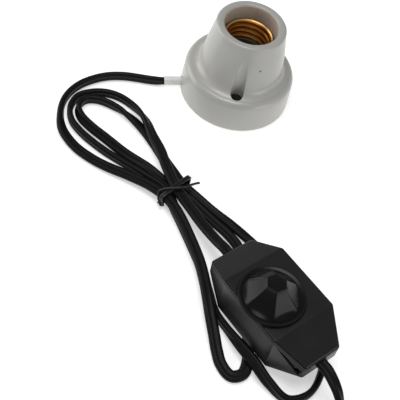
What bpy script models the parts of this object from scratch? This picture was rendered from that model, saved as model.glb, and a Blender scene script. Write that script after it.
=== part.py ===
"""Porcelain heat lamp holder with a tied flat cord, an in-line rotary dimmer and a mains lead.

The lamp holder stands on the floor at the origin, +Z up. The cord leaves it to the left, lies in
tied loops in front of it and ends in the dimmer, whose own lead ends in a two-blade plug.
"""
import math

import bmesh
import bpy
from mathutils import Matrix, Vector

MM = 0.001

# Clearances
GAP = 0.3 * MM
CUT = 1.0 * MM

# Porcelain body
BASE_RADIUS = 33.9 * MM
FLANGE_RADIUS = 33.0 * MM
FLANGE_HEIGHT = 21.1 * MM
CREST_RADIUS = 2.2 * MM
BODY_HEIGHT = 53.7 * MM
RIM_RADIUS = 20.45 * MM
RIM_ROUND = 1.1 * MM
NECK_RADIUS = 24.6 * MM
NECK_FILLET = 4.0 * MM
MOUTH_RADIUS = 15.6 * MM
FLOOR_TOP = 20.0 * MM
FLOOR_THICKNESS = 6.0 * MM
CHAMBER_RADIUS = 27.5 * MM

# Mounting screw holes in the flange
HOLE_DISTANCE = 25.4 * MM
HOLE_ANGLE = math.radians(-84.6)
HEAD_RECESS_RADIUS = 3.5 * MM
HEAD_RECESS_FLOOR = 8.0 * MM
HOLE_RADIUS = 2.4 * MM
HOLE_BOSS_RADIUS = 6.2 * MM

# Threaded shell, contact and what fixes them
THREAD_PITCH = 3.629 * MM
THREAD_DEPTH = 1.1 * MM
SHELL_MINOR_RADIUS = 12.35 * MM
SHELL_WALL = 0.45 * MM
SHELL_TOP = 44.6 * MM
TOP_RIDGE = 43.3 * MM
SHELL_LIP = 0.9 * MM
SHELL_FLOOR_HOLE = 7.0 * MM
LEAF_THICKNESS = 0.6 * MM
LEAF_WIDTH = 6.0 * MM
LEAF_TIP_HEIGHT = 27.4 * MM
RIVET_X = -3.4 * MM
RIVET_RADIUS = 1.2 * MM
RIVET_HEAD_RADIUS = 2.1 * MM
RIVET_HEAD_HEIGHT = 1.0 * MM
SHELL_SCREW_PLACE = Vector((0.4, 9.6, 0.0)) * MM
SHELL_SCREW_RADIUS = 1.45 * MM
SHELL_SCREW_HEAD_RADIUS = 2.1 * MM
SHELL_SCREW_HEAD_HEIGHT = 1.4 * MM
NUT_RADIUS = 3.2 * MM
NUT_HEIGHT = 2.4 * MM

# Terminals in the chamber below the porcelain floor
TERMINAL_HEIGHT = 6.0 * MM
TERMINAL_LENGTH = 11.0 * MM
TERMINAL_WIDTH = 6.6 * MM
TERMINAL_SCREW_RADIUS = 1.25 * MM
TERMINAL_HEAD_RADIUS = 2.2 * MM
TERMINAL_HEAD_HEIGHT = 1.5 * MM
CORE_RADIUS = 1.1 * MM

# Cord entry and sleeve
ENTRY_HEIGHT = 3.4 * MM
ENTRY_POINT = Vector((-33.0, -8.6, 0.0)) * MM
ENTRY_DIRECTION = Vector((-0.932, -0.362, 0.0))
SLEEVE_RADIUS = 2.8 * MM
SLEEVE_OUT = 10.2 * MM
SLEEVE_IN = 5.0 * MM

# Dimmer casing, in its own frame: x along it towards the mains lead, z up from its underside
DIMMER_PLACE = Vector((47.2, -151.1, 5.7)) * MM
DIMMER_HEADING = math.radians(-41.7)
DIMMER_PITCH = math.radians(4.0)
TOP_HALF_LENGTH = 18.7 * MM
SLOPE_LENGTH = 16.4 * MM
CASE_WIDTH = 36.4 * MM
FAR_END_WIDTH = 25.0 * MM
NEAR_END_WIDTH = 21.2 * MM
CASE_HEIGHT = 25.2 * MM
END_TOP = 16.6 * MM
END_BOTTOM = 7.3 * MM
CASE_WALL = 1.8 * MM
CASE_ROUND = 0.8 * MM
LID_DEPTH = 2.2 * MM
LID_LIP = 1.4 * MM
SLOT_WIDTH = 6.4 * MM
SLOT_HEIGHT = 4.2 * MM
RECESS_DEPTH = 0.9 * MM
SIDE_SCREW_RADIUS = 1.3 * MM

# Dimmer knob
KNOB_OFFSET = -4.6 * MM
KNOB_RADIUS = 16.3 * MM
KNOB_CLEARANCE = 0.6 * MM
KNOB_SKIRT = 1.8 * MM
KNOB_HEIGHT = 12.0 * MM
GRIP_TOP_RADIUS = 4.2 * MM
GRIP_FOOT_RADIUS = 14.0 * MM
GRIP_SIDES = 6
KNOB_BORE_DEPTH = 8.0 * MM
SHAFT_RADIUS = 2.9 * MM
SHAFT_HOLE_RADIUS = 4.2 * MM
BUSHING_RADIUS = 3.9 * MM
POT_RADIUS = 8.0 * MM
POT_HEIGHT = 6.6 * MM
BUSHING_HEIGHT = 3.4 * MM

# Inside the dimmer
BOARD_LENGTH = 49.0 * MM
BOARD_WIDTH = 26.0 * MM
BOARD_THICKNESS = 1.6 * MM
BOARD_HEIGHT = 7.2 * MM
PILLAR_RADIUS = 2.5 * MM
PILLAR_PLACE = Vector((15.6, 13.5, 0.0)) * MM
PILLAR_FOOT = 4.4 * MM
CASE_SCREW_RADIUS = 1.2 * MM
CASE_HEAD_RADIUS = 2.3 * MM
CASE_SCREW_LENGTH = 14.0 * MM
CASE_HEAD_HEIGHT = 1.4 * MM
CLAMP_PLACE = 29.0 * MM
CLAMP_LENGTH = 3.4 * MM
CLAMP_WIDTH = 16.0 * MM
CLAMP_THICKNESS = 1.5 * MM
CLAMP_SCREW_SPACING = 11.0 * MM
CLAMP_HEAD_HEIGHT = 0.9 * MM
CORD_END = 26.4 * MM

# Cord, lead and plug
CORD_DIAMETER = 3.6 * MM
CORD_STEP = 24.0 * MM
CORD_TURN = math.radians(15.0)
TIE_RADIUS = 0.5 * MM
TIE_PLACE = Vector((-16.5, -90.6, 5.25)) * MM
TIE_ACROSS = Vector((0.45, 0.893, 0.0))
TIE_HALF_WIDTH = 11.3 * MM
TIE_HALF_HEIGHT = 4.75 * MM
COIL_PLACE = Vector((66.0, -238.0, 0.0)) * MM
COIL_INNER_RADIUS = 24.0 * MM
COIL_OUTER_RADIUS = 35.0 * MM
COIL_HEIGHT = 5.7 * MM
PLUG_FACE_X = -14.0 * MM
PLUG_Y = -273.0 * MM
PLUG_LENGTH = 25.0 * MM
PLUG_WIDTH = 21.0 * MM
PLUG_THICKNESS = 11.0 * MM
PLUG_NOSE = 0.78
RELIEF_LENGTH = 22.0 * MM
RELIEF_TIP_RADIUS = 2.6 * MM
RELIEF_ROOT_RADIUS = 4.2 * MM
BLADE_LENGTH = 16.0 * MM
BLADE_ROOT = 3.0 * MM
BLADE_HEIGHT = 6.3 * MM
BLADE_THICKNESS = 1.5 * MM
BLADE_SPACING = 12.7 * MM

# Route of the holder cord's middle, in millimetres: entry, over the tie, round the first loop,
# under the dimmer, back through the tie, round the inner and the outer loop, and to the dimmer.
CORD_ROUTE = [
    (-23.5, -4.9, 3.4), (-27.4, -6.4, 3.4), (-41.4, -11.86, 3.4), (-45.1, -13.28, 3.35),
    (-50.5, -14.5, 3.2), (-57.0, -15.4, 3.0), (-67.6, -17.6, 2.85), (-77.7, -22.4, 2.85),
    (-87.4, -31.6, 2.85), (-92.2, -41.0, 2.85), (-93.5, -50.5, 2.85), (-91.4, -60.5, 2.85),
    (-87.0, -69.0, 2.4), (-77.6, -77.2, 2.0), (-67.5, -82.0, 2.0), (-57.0, -85.2, 2.4),
    (-42.4, -88.2, 3.6), (-30.1, -91.8, 5.0), (-19.8, -97.1, 6.2), (-13.4, -102.6, 6.4),
    (-8.1, -108.8, 6.3), (-3.2, -115.5, 6.2), (1.8, -122.8, 6.2), (6.1, -129.7, 6.3),
    (10.6, -138.9, 6.6), (14.8, -149.3, 6.9), (18.6, -158.8, 6.2), (22.4, -167.0, 4.4),
    (25.6, -174.0, 2.8), (29.2, -180.2, 2.1), (35.0, -184.4, 2.0), (40.2, -181.8, 2.0),
    (41.4, -175.5, 2.0), (40.0, -166.0, 1.9), (37.0, -152.0, 1.9), (31.4, -132.0, 1.9),
    (24.8, -113.6, 2.0), (17.0, -106.6, 2.1), (9.2, -102.0, 2.2), (2.0, -97.7, 2.5),
    (-7.2, -92.1, 3.0), (-15.5, -88.6, 3.3), (-25.1, -84.2, 3.15), (-33.9, -79.6, 3.2),
    (-48.9, -74.0, 3.2), (-63.1, -66.8, 3.2), (-72.6, -62.0, 3.2), (-80.4, -56.6, 3.2),
    (-84.0, -50.4, 3.2), (-82.0, -43.8, 3.2), (-75.3, -40.9, 3.1), (-63.0, -42.8, 2.9),
    (-53.0, -47.0, 2.6), (-42.9, -54.2, 2.3), (-35.6, -61.0, 2.2), (-28.4, -68.9, 2.6),
    (-21.5, -76.0, 3.0), (-13.1, -83.8, 3.45), (-1.9, -90.0, 2.8), (7.9, -95.4, 2.4),
    (17.3, -99.9, 2.1), (29.3, -106.8, 2.1), (40.0, -113.4, 2.5), (50.5, -120.6, 2.85),
    (67.0, -136.0, 2.85), (76.5, -154.0, 2.85), (77.5, -170.0, 2.85), (73.0, -183.0, 2.85),
    (63.0, -188.6, 3.2), (52.5, -183.6, 5.0), (44.0, -176.4, 6.5), (37.0, -170.8, 6.4),
    (27.4, -161.8, 4.6), (19.6, -153.4, 2.7), (13.6, -142.5, 2.15), (7.4, -129.8, 2.0),
    (1.9, -121.6, 2.0), (-3.5, -114.0, 2.0), (-8.6, -107.0, 2.2), (-13.3, -101.0, 2.6),
    (-18.3, -94.2, 3.35), (-24.2, -89.8, 3.15), (-31.5, -86.2, 3.0), (-40.9, -82.8, 2.9),
    (-50.5, -79.6, 2.85), (-60.4, -76.0, 2.85), (-68.6, -72.2, 2.85), (-77.0, -67.4, 2.85),
    (-84.6, -60.8, 2.85), (-88.3, -52.0, 2.85), (-86.6, -42.6, 2.85), (-79.4, -36.6, 2.85),
    (-70.7, -34.0, 2.85), (-62.0, -34.9, 2.9), (-52.1, -40.0, 3.6), (-44.4, -48.0, 5.6),
    (-37.5, -58.7, 6.7), (-30.8, -67.6, 7.1), (-24.8, -77.4, 7.2), (-16.1, -89.8, 7.2),
    (-11.4, -95.0, 7.3), (-5.6, -100.9, 8.0), (1.2, -108.2, 9.1), (7.6, -114.8, 10.8),
    (12.6, -119.9, 12.8),
]
# Route of the mains lead from the dimmer to its coil, and from the coil to the plug
LEAD_ROUTE = [
    (82.3, -184.6, 18.6), (86.8, -192.0, 13.5), (90.3, -198.5, 7.2), (93.0, -205.5, 3.4),
    (96.0, -213.0, 2.85), (99.8, -222.3, 2.85),
]
TAIL_ROUTE = [
    (62.0, -264.5, 8.1), (52.0, -268.8, 8.9), (43.0, -272.0, 8.0), (36.3, -273.0, 5.6),
]
LIVE_CORE_ROUTE = [
    (-22.5, -5.9, 3.4), (-19.4, -4.0, 6.0), (-16.8, -1.4, 9.2), (-13.4, 0.0, 10.7), (-9.5, 0.0, 10.7),
]
NEUTRAL_CORE_ROUTE = [
    (-23.4, -3.5, 3.4), (-21.0, 1.6, 5.4), (-17.4, 6.6, 8.6), (-12.8, 9.6, 10.7), (-5.5, 9.6, 10.7),
]


def start_scene():
    """Empty the scene and make one collection for the parts and one for the cutters."""
    for item in list(bpy.data.objects):
        bpy.data.objects.remove(item, do_unlink=True)
    found = []
    for name in ("ceramic_heat_lamp_holder", "cutters"):
        collection = bpy.data.collections.new(name)
        bpy.context.scene.collection.children.link(collection)
        found.append(collection)
    return found


PARTS, CUTTERS = start_scene()


def finish(name, colour, roughness, metallic=0.0):
    """A material with one colour, roughness and metallic value."""
    material = bpy.data.materials.new(name)
    material.use_nodes = True
    shader = material.node_tree.nodes["Principled BSDF"]
    shader.inputs["Base Color"].default_value = (*colour, 1.0)
    shader.inputs["Roughness"].default_value = roughness
    shader.inputs["Metallic"].default_value = metallic
    return material


def place(name, mesh, material=None, parent=None):
    """An object of the part, or a cutter where it has no material."""
    item = bpy.data.objects.new(name, mesh)
    if material is None:
        CUTTERS.objects.link(item)
        item.hide_render = True
        item.display_type = "WIRE"
    else:
        PARTS.objects.link(item)
        mesh.materials.append(material)
    item.parent = parent
    return item


def smooth(mesh, angle=math.radians(35.0)):
    mesh.shade_smooth()
    mesh.set_sharp_from_angle(angle=angle)


def block(name, size, centre, material=None, parent=None, rounding=0.0):
    """A box of the given size, with rounded edges where a rounding is given."""
    shape = bmesh.new()
    bmesh.ops.create_cube(shape, size=1.0)
    bmesh.ops.scale(shape, vec=size, verts=shape.verts)
    bmesh.ops.translate(shape, vec=centre, verts=shape.verts)
    mesh = bpy.data.meshes.new(name)
    shape.to_mesh(mesh)
    shape.free()
    item = place(name, mesh, material, parent)
    if rounding:
        round_edges(item, rounding)
    return item


def rod(name, radius, start, end, material=None, parent=None, sides=20, end_radius=None):
    """A cylinder or cone from one point to another."""
    start = Vector(start)
    along = Vector(end) - start
    turn = along.to_track_quat("Z", "Y").to_matrix().to_4x4()
    shape = bmesh.new()
    bmesh.ops.create_cone(
        shape, cap_ends=True, segments=sides, radius1=radius,
        radius2=radius if end_radius is None else end_radius, depth=along.length,
        matrix=Matrix.Translation(start + along / 2) @ turn,
    )
    mesh = bpy.data.meshes.new(name)
    shape.to_mesh(mesh)
    shape.free()
    smooth(mesh)
    return place(name, mesh, material, parent)


def turned(name, profile, material=None, parent=None, steps=48, at=(0.0, 0.0, 0.0), closed=False):
    """A profile of (radius, height) points turned about Z, down its outer side from the top."""
    points = [(radius, 0.0, height) for radius, height in profile]
    edges = [(i, i + 1) for i in range(len(points) - 1)]
    if closed:
        edges.append((len(points) - 1, 0))
    mesh = bpy.data.meshes.new(name)
    mesh.from_pydata(points, edges, [])
    item = place(name, mesh, material, parent)
    item.location = at
    screw = item.modifiers.new("turn", "SCREW")
    screw.steps = steps
    screw.render_steps = steps
    screw.use_merge_vertices = True
    screw.merge_threshold = 0.00001
    screw.use_smooth_shade = True
    return item


def plate(name, outline, low, high, material=None, parent=None, turn=None):
    """A flat outline with a thickness from low to high, turned by a matrix where one is given."""
    data = bpy.data.curves.new(name, "CURVE")
    data.dimensions = "2D"
    data.fill_mode = "BOTH"
    data.extrude = (high - low) / 2
    spline = data.splines.new("POLY")
    spline.points.add(len(outline) - 1)
    for point, (x, y) in zip(spline.points, outline):
        point.co = (x, y, 0.0, 1.0)
    spline.use_cyclic_u = True
    flat = bpy.data.objects.new(name + "_outline", data)
    CUTTERS.objects.link(flat)
    mesh = solid_mesh(flat)
    mesh.transform(Matrix.Translation((0.0, 0.0, (low + high) / 2)))
    if turn is not None:
        mesh.transform(turn)
    return place(name, mesh, material, parent)


def solid_mesh(curve_object):
    """The closed mesh of a curve object, which is removed."""
    bpy.context.view_layer.update()
    seen = curve_object.evaluated_get(bpy.context.evaluated_depsgraph_get())
    mesh = bpy.data.meshes.new_from_object(seen)
    mesh.transform(curve_object.matrix_world)
    shape = bmesh.new()
    shape.from_mesh(mesh)
    bmesh.ops.remove_doubles(shape, verts=shape.verts, dist=0.000005)
    shape.to_mesh(mesh)
    shape.free()
    bpy.data.objects.remove(curve_object, do_unlink=True)
    return mesh


def tube(name, points, radius, material, sides=2):
    """A round wire or cord along the given points, with closed ends."""
    data = bpy.data.curves.new(name, "CURVE")
    data.dimensions = "3D"
    data.bevel_depth = radius
    data.bevel_resolution = sides
    data.use_fill_caps = True
    data.materials.append(material)
    spline = data.splines.new("POLY")
    spline.points.add(len(points) - 1)
    for point, place_ in zip(spline.points, points):
        point.co = (*place_, 1.0)
    item = bpy.data.objects.new(name, data)
    PARTS.objects.link(item)
    return item


def combine(item, operation, *others):
    for other in others:
        step = item.modifiers.new(operation.lower(), "BOOLEAN")
        step.operation = operation
        step.solver = "EXACT"
        step.object = other
    return item


def cut(item, *cutters):
    return combine(item, "DIFFERENCE", *cutters)


def join(item, *others):
    return combine(item, "UNION", *others)


def keep(item, *others):
    return combine(item, "INTERSECT", *others)


def round_edges(item, width, segments=2):
    bevel = item.modifiers.new("rounded_edges", "BEVEL")
    bevel.width = width
    bevel.segments = segments
    bevel.limit_method = "ANGLE"
    bevel.angle_limit = math.radians(25.0)
    return item


def arc(centre, radius, start, end, count):
    """Points of an arc as (radius, height) pairs, angles in degrees."""
    angles = [math.radians(start + (end - start) * i / count) for i in range(count + 1)]
    return [(centre[0] + radius * math.cos(a), centre[1] + radius * math.sin(a)) for a in angles]


def smooth_route(points, pieces=8):
    """A smooth curve through the points, thinned to where it turns or runs on."""
    knots = [Vector(p) for p in points]
    knots = [2 * knots[0] - knots[1]] + knots + [2 * knots[-1] - knots[-2]]
    fine = []
    for a, b, c, d in zip(knots, knots[1:], knots[2:], knots[3:]):
        first = (b - a).length ** 0.5
        middle = (c - b).length ** 0.5
        last = (d - c).length ** 0.5
        leave = ((b - a) / first - (c - a) / (first + middle) + (c - b) / middle) * middle
        arrive = ((c - b) / middle - (d - b) / (middle + last) + (d - c) / last) * middle
        for i in range(pieces):
            t = i / pieces
            fine.append(
                b * (2 * t ** 3 - 3 * t ** 2 + 1) + leave * (t ** 3 - 2 * t ** 2 + t)
                + c * (3 * t ** 2 - 2 * t ** 3) + arrive * (t ** 3 - t ** 2)
            )
    fine.append(knots[-2])
    kept = [fine[0]]
    way = fine[1] - fine[0]
    for here, after in zip(fine[1:], fine[2:]):
        ahead = after - here
        if way.angle(ahead) > CORD_TURN or (here - kept[-1]).length > CORD_STEP:
            kept.append(here)
            way = ahead
    kept.append(fine[-1])
    return kept


def in_metres(route):
    return [Vector(point) * MM for point in route]


def porcelain_profile():
    """The body's section from the middle of its floor, over the rim, to the chamber's roof."""
    neck_foot = FLANGE_HEIGHT + NECK_FILLET
    crest = (FLANGE_RADIUS - CREST_RADIUS, FLANGE_HEIGHT - CREST_RADIUS)
    rim_in = (MOUTH_RADIUS + RIM_ROUND, BODY_HEIGHT - RIM_ROUND)
    rim_out = (RIM_RADIUS - RIM_ROUND, BODY_HEIGHT - RIM_ROUND)
    fillet = (NECK_RADIUS + NECK_FILLET, neck_foot)
    chamber_top = FLOOR_TOP - FLOOR_THICKNESS
    profile = [(0.0, FLOOR_TOP), (MOUTH_RADIUS - GAP, FLOOR_TOP)]
    profile += arc(rim_in, RIM_ROUND, 180, 90, 3)
    profile += arc(rim_out, RIM_ROUND, 90, 0, 3)
    profile += arc(fillet, NECK_FILLET, 180, 270, 5)
    profile += arc(crest, CREST_RADIUS, 90, 0, 4)
    profile += [(BASE_RADIUS, CUT), (BASE_RADIUS - CUT, 0.0), (CHAMBER_RADIUS, 0.0)]
    profile += [(CHAMBER_RADIUS - CUT, chamber_top), (0.0, chamber_top)]
    return profile


def hole_places():
    """The two mounting screw holes, opposite each other."""
    spots = []
    for side in (0.0, math.pi):
        angle = HOLE_ANGLE + side
        spots.append(Vector((math.cos(angle), math.sin(angle), 0.0)) * HOLE_DISTANCE)
    return spots


def porcelain_body(porcelain):
    chamber_top = FLOOR_TOP - FLOOR_THICKNESS
    body = turned("porcelain_body", porcelain_profile(), porcelain, steps=64)
    up = Vector((0.0, 0.0, 1.0))
    for number, spot in enumerate(hole_places()):
        join(body, rod(f"hole_boss_{number}", HOLE_BOSS_RADIUS, spot + up * CUT,
                       spot + up * (chamber_top + CUT), sides=28))
        cut(body, rod(f"head_recess_{number}", HEAD_RECESS_RADIUS, spot + up * HEAD_RECESS_FLOOR,
                      spot + up * (BODY_HEIGHT + CUT), sides=24))
        cut(body, rod(f"screw_hole_{number}", HOLE_RADIUS, spot - up * CUT,
                      spot + up * (HEAD_RECESS_FLOOR + CUT), sides=20))
    centre = ENTRY_POINT + up * ENTRY_HEIGHT
    outside = centre + ENTRY_DIRECTION * SLEEVE_OUT
    inside = centre - ENTRY_DIRECTION * SLEEVE_OUT
    width = SLEEVE_RADIUS + GAP
    notch = block("entry_notch", (SLEEVE_OUT * 2, width * 2, ENTRY_HEIGHT + CUT),
                  (0.0, 0.0, -(ENTRY_HEIGHT + CUT) / 2))
    notch.location = centre
    notch.rotation_euler.z = math.atan2(ENTRY_DIRECTION.y, ENTRY_DIRECTION.x)
    cut(body, rod("entry_hole", width, outside, inside, sides=24), notch)
    for number, side in enumerate((-1.0, 1.0)):
        spot = SHELL_SCREW_PLACE * side
        cut(body, rod(f"shell_screw_hole_{number}", SHELL_SCREW_RADIUS + GAP,
                      spot + up * (chamber_top - CUT), spot + up * (FLOOR_TOP + CUT)))
    spot = Vector((RIVET_X, 0.0, 0.0))
    cut(body, rod("rivet_hole", RIVET_RADIUS + GAP, spot + up * (chamber_top - CUT),
                  spot + up * (FLOOR_TOP + CUT)))
    return body


def shell_radius(height):
    """Inner radius of the threaded shell, smallest at each ridge."""
    turn = 2 * math.pi * (height - TOP_RIDGE) / THREAD_PITCH
    return SHELL_MINOR_RADIUS + THREAD_DEPTH / 2 - THREAD_DEPTH / 2 * math.cos(turn)


def screw_shell(brass):
    floor = FLOOR_TOP + GAP
    step = THREAD_PITCH / 4
    count = round((SHELL_TOP - floor - THREAD_PITCH) / step)
    heights = [TOP_RIDGE - step * i for i in range(count)]
    inner = [(shell_radius(h), h) for h in heights]
    outer = [(r + SHELL_WALL, h) for r, h in inner]
    edge = SHELL_MINOR_RADIUS + THREAD_DEPTH
    lip = [(edge - GAP, SHELL_TOP), (edge + SHELL_LIP, SHELL_TOP),
           (edge + SHELL_LIP, SHELL_TOP - SHELL_WALL)]
    bottom = [(edge, floor + THREAD_DEPTH), (edge - THREAD_DEPTH, floor), (SHELL_FLOOR_HOLE, floor),
              (SHELL_FLOOR_HOLE, floor + SHELL_WALL),
              (edge - THREAD_DEPTH - SHELL_WALL / 2, floor + SHELL_WALL),
              (edge - SHELL_WALL, floor + THREAD_DEPTH + SHELL_WALL)]
    profile = lip + outer + bottom + inner[::-1]
    shell = turned("screw_shell", profile, brass, steps=36, closed=True)
    for number, side in enumerate((-1.0, 1.0)):
        spot = SHELL_SCREW_PLACE * side
        cut(shell, rod(f"shell_floor_hole_{number}", SHELL_SCREW_RADIUS + GAP,
                       spot + Vector((0.0, 0.0, FLOOR_TOP)),
                       spot + Vector((0.0, 0.0, FLOOR_TOP + 2 * CUT))))
    return shell


def contact(brass, steel):
    """The sprung leaf in the middle of the shell and its rivet."""
    base = FLOOR_TOP + GAP + LEAF_THICKNESS / 2
    bend = 3.6 * MM
    line = [(RIVET_X - RIVET_HEAD_RADIUS, base), (bend - 1.2 * MM, base),
            (bend, base + 1.0 * MM), (bend + 0.2 * MM, base + 2.6 * MM),
            (bend - 1.4 * MM, base + 4.2 * MM), (0.0, LEAF_TIP_HEIGHT - LEAF_THICKNESS),
            (-2.4 * MM, LEAF_TIP_HEIGHT - LEAF_THICKNESS / 2), (-4.4 * MM, LEAF_TIP_HEIGHT - 1.4 * MM)]
    upright = Matrix.Rotation(math.radians(90.0), 4, "X")
    leaf = plate("centre_contact", strip(line, LEAF_THICKNESS), -LEAF_WIDTH / 2, LEAF_WIDTH / 2,
                 brass, turn=upright)
    spot = Vector((RIVET_X, 0.0, 0.0))
    up = Vector((0.0, 0.0, 1.0))
    cut(leaf, rod("leaf_hole", RIVET_RADIUS + GAP, spot + up * FLOOR_TOP,
                  spot + up * (FLOOR_TOP + 2 * CUT)))
    head = FLOOR_TOP + 2 * GAP + LEAF_THICKNESS
    foot = FLOOR_TOP - FLOOR_THICKNESS - GAP - TERMINAL_HEIGHT / 3
    rivet = rod("contact_rivet", RIVET_RADIUS, spot + up * foot, spot + up * (head + GAP), steel)
    join(rivet, rod("rivet_head", RIVET_HEAD_RADIUS, spot + up * head,
                    spot + up * (head + RIVET_HEAD_HEIGHT), end_radius=RIVET_HEAD_RADIUS * 0.7))


def strip(line, thickness):
    """The outline of a bent strip, from the line along its middle."""
    points = [Vector(p) for p in line]
    left = []
    right = []
    for i, point in enumerate(points):
        before = points[max(i - 1, 0)]
        after = points[min(i + 1, len(points) - 1)]
        along = (after - before).normalized()
        across = Vector((-along.y, along.x)) * thickness / 2
        left.append(tuple(point + across))
        right.append(tuple(point - across))
    return left + right[::-1]


def shell_fixings(steel):
    """Two screws through the shell's floor, one into the neutral terminal and one into a nut."""
    up = Vector((0.0, 0.0, 1.0))
    head = FLOOR_TOP + 2 * GAP + SHELL_WALL
    foot = FLOOR_TOP - FLOOR_THICKNESS - GAP - NUT_HEIGHT
    for name, side in (("near", -1.0), ("far", 1.0)):
        spot = SHELL_SCREW_PLACE * side
        shank = rod(f"{name}_shell_screw", SHELL_SCREW_RADIUS, spot + up * foot,
                    spot + up * (head + GAP), steel)
        top = rod(f"{name}_shell_screw_head", SHELL_SCREW_HEAD_RADIUS, spot + up * head,
                  spot + up * (head + SHELL_SCREW_HEAD_HEIGHT))
        slot = block(f"{name}_shell_screw_slot",
                     (SHELL_SCREW_HEAD_RADIUS * 3, 0.6 * MM, SHELL_SCREW_HEAD_HEIGHT),
                     spot + up * (head + SHELL_SCREW_HEAD_HEIGHT * 1.1))
        cut(join(shank, top), slot)
    spot = up * (FLOOR_TOP - FLOOR_THICKNESS - GAP) - SHELL_SCREW_PLACE
    nut = rod("shell_nut", NUT_RADIUS, spot - up * NUT_HEIGHT, spot, steel, sides=6)
    cut(nut, rod("nut_hole", SHELL_SCREW_RADIUS + GAP, spot - up * (NUT_HEIGHT + CUT), spot + up * CUT))


def terminals(brass, steel):
    """Live and neutral blocks under the floor, with a bore for the wire and a clamping screw."""
    top = FLOOR_TOP - FLOOR_THICKNESS - GAP
    middle = top - TERMINAL_HEIGHT / 2
    up = Vector((0.0, 0.0, 1.0))
    for name, right, y, hole, radius in (
        ("live_terminal", -1.6 * MM, 0.0, RIVET_X, RIVET_RADIUS),
        ("neutral_terminal", 2.6 * MM, SHELL_SCREW_PLACE.y, SHELL_SCREW_PLACE.x, SHELL_SCREW_RADIUS),
    ):
        left = right - TERMINAL_LENGTH
        centre = Vector(((left + right) / 2, y, middle))
        item = block(name, (TERMINAL_LENGTH, TERMINAL_WIDTH, TERMINAL_HEIGHT), centre, brass,
                     rounding=0.4 * MM)
        cut(item, rod(name + "_fixing_hole", radius + GAP, (hole, y, middle - TERMINAL_HEIGHT),
                      (hole, y, top + CUT)))
        cut(item, rod(name + "_wire_hole", CORE_RADIUS + GAP, (left - CUT, y, middle),
                      (left + TERMINAL_LENGTH * 0.45, y, middle)))
        spot = Vector((left + TERMINAL_LENGTH * 0.22, y, top - TERMINAL_HEIGHT))
        reach = TERMINAL_HEIGHT / 2 - CORE_RADIUS - GAP
        cut(item, rod(name + "_screw_hole", TERMINAL_SCREW_RADIUS + GAP, spot - up * CUT,
                      spot + up * (reach + GAP)))
        shank = rod(name + "_screw", TERMINAL_SCREW_RADIUS, spot - up * (2 * GAP),
                    spot + up * (reach - GAP), steel)
        join(shank, rod(name + "_screw_head", TERMINAL_HEAD_RADIUS,
                        spot - up * (TERMINAL_HEAD_HEIGHT + GAP), spot - up * GAP))


def sleeve(white):
    """The white sleeve that keeps the cord off the hot porcelain."""
    centre = ENTRY_POINT + Vector((0.0, 0.0, ENTRY_HEIGHT))
    outside = centre + ENTRY_DIRECTION * SLEEVE_OUT
    inside = centre - ENTRY_DIRECTION * SLEEVE_IN
    item = rod("heat_sleeve", SLEEVE_RADIUS, inside, outside, white, sides=24)
    cut(item, rod("sleeve_bore", CORD_DIAMETER / 2 + GAP, inside - ENTRY_DIRECTION * CUT,
                  outside + ENTRY_DIRECTION * CUT, sides=20))


def twist_tie(black):
    """A wire tie round the five strands, with its two ends standing out to the right."""
    across = TIE_ACROSS.normalized()
    up = Vector((0.0, 0.0, 1.0))
    count = 26
    power = 1 / 3
    points = []
    start = TIE_PLACE + across * TIE_HALF_WIDTH
    for i in range(count + 1):
        angle = math.radians(8.0 + 344.0 * i / count)
        c = math.cos(angle)
        s = math.sin(angle)
        wide = math.copysign(abs(c) ** power, c) * TIE_HALF_WIDTH
        high = math.copysign(abs(s) ** power, s) * TIE_HALF_HEIGHT
        points.append(TIE_PLACE + across * wide + up * high)
    tail = across * 6.0 * MM
    points = [points[0] + tail + up * 1.4 * MM, points[0] + tail / 3] + points
    points += [points[-1] + tail / 3, points[-1] + tail * 0.8 - up * 1.0 * MM]
    tube("twist_tie", points, TIE_RADIUS, black)
    return start


def dimmer_frame():
    """The empty that carries the dimmer's pieces."""
    frame = bpy.data.objects.new("dimmer_frame", None)
    CUTTERS.objects.link(frame)
    frame.location = DIMMER_PLACE
    frame.rotation_euler = (0.0, -DIMMER_PITCH, DIMMER_HEADING)
    bpy.context.view_layer.update()
    return frame


def side_profile(inset, reach=0.0):
    """The casing seen from the side, inside its walls by inset, as (along, height) points."""
    long_half = TOP_HALF_LENGTH + SLOPE_LENGTH - inset + reach
    rise = (CASE_HEIGHT - END_TOP) / SLOPE_LENGTH
    dip = END_BOTTOM / SLOPE_LENGTH
    top = CASE_HEIGHT - inset
    low = inset
    end_top = top - rise * (long_half - TOP_HALF_LENGTH)
    end_low = low + dip * (long_half - TOP_HALF_LENGTH)
    half = [(TOP_HALF_LENGTH, top), (long_half, end_top), (long_half, end_low), (TOP_HALF_LENGTH, low)]
    return half + [(-x, z) for x, z in half[::-1]]


def plan_outline(inset):
    """The casing seen from above, inside its walls by inset."""
    full = TOP_HALF_LENGTH + SLOPE_LENGTH - inset
    half = CASE_WIDTH / 2 - inset
    near = NEAR_END_WIDTH / 2 - inset * 0.8
    far = FAR_END_WIDTH / 2 - inset * 0.8
    return [(full, -near), (full, near), (TOP_HALF_LENGTH, half), (-TOP_HALF_LENGTH, half),
            (-full, far), (-full, -far), (-TOP_HALF_LENGTH, -half), (TOP_HALF_LENGTH, -half)]


def case_form(name, inset, parent, material=None):
    """The casing's outer or inner form: its plan, kept where its side view has it."""
    upright = Matrix.Rotation(math.radians(90.0), 4, "X")
    item = plate(name, plan_outline(inset), -CUT, CASE_HEIGHT + CUT, material, parent)
    side = plate(name + "_side", side_profile(inset), -CASE_WIDTH, CASE_WIDTH, None, parent,
                 turn=upright)
    return keep(item, side)


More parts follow.
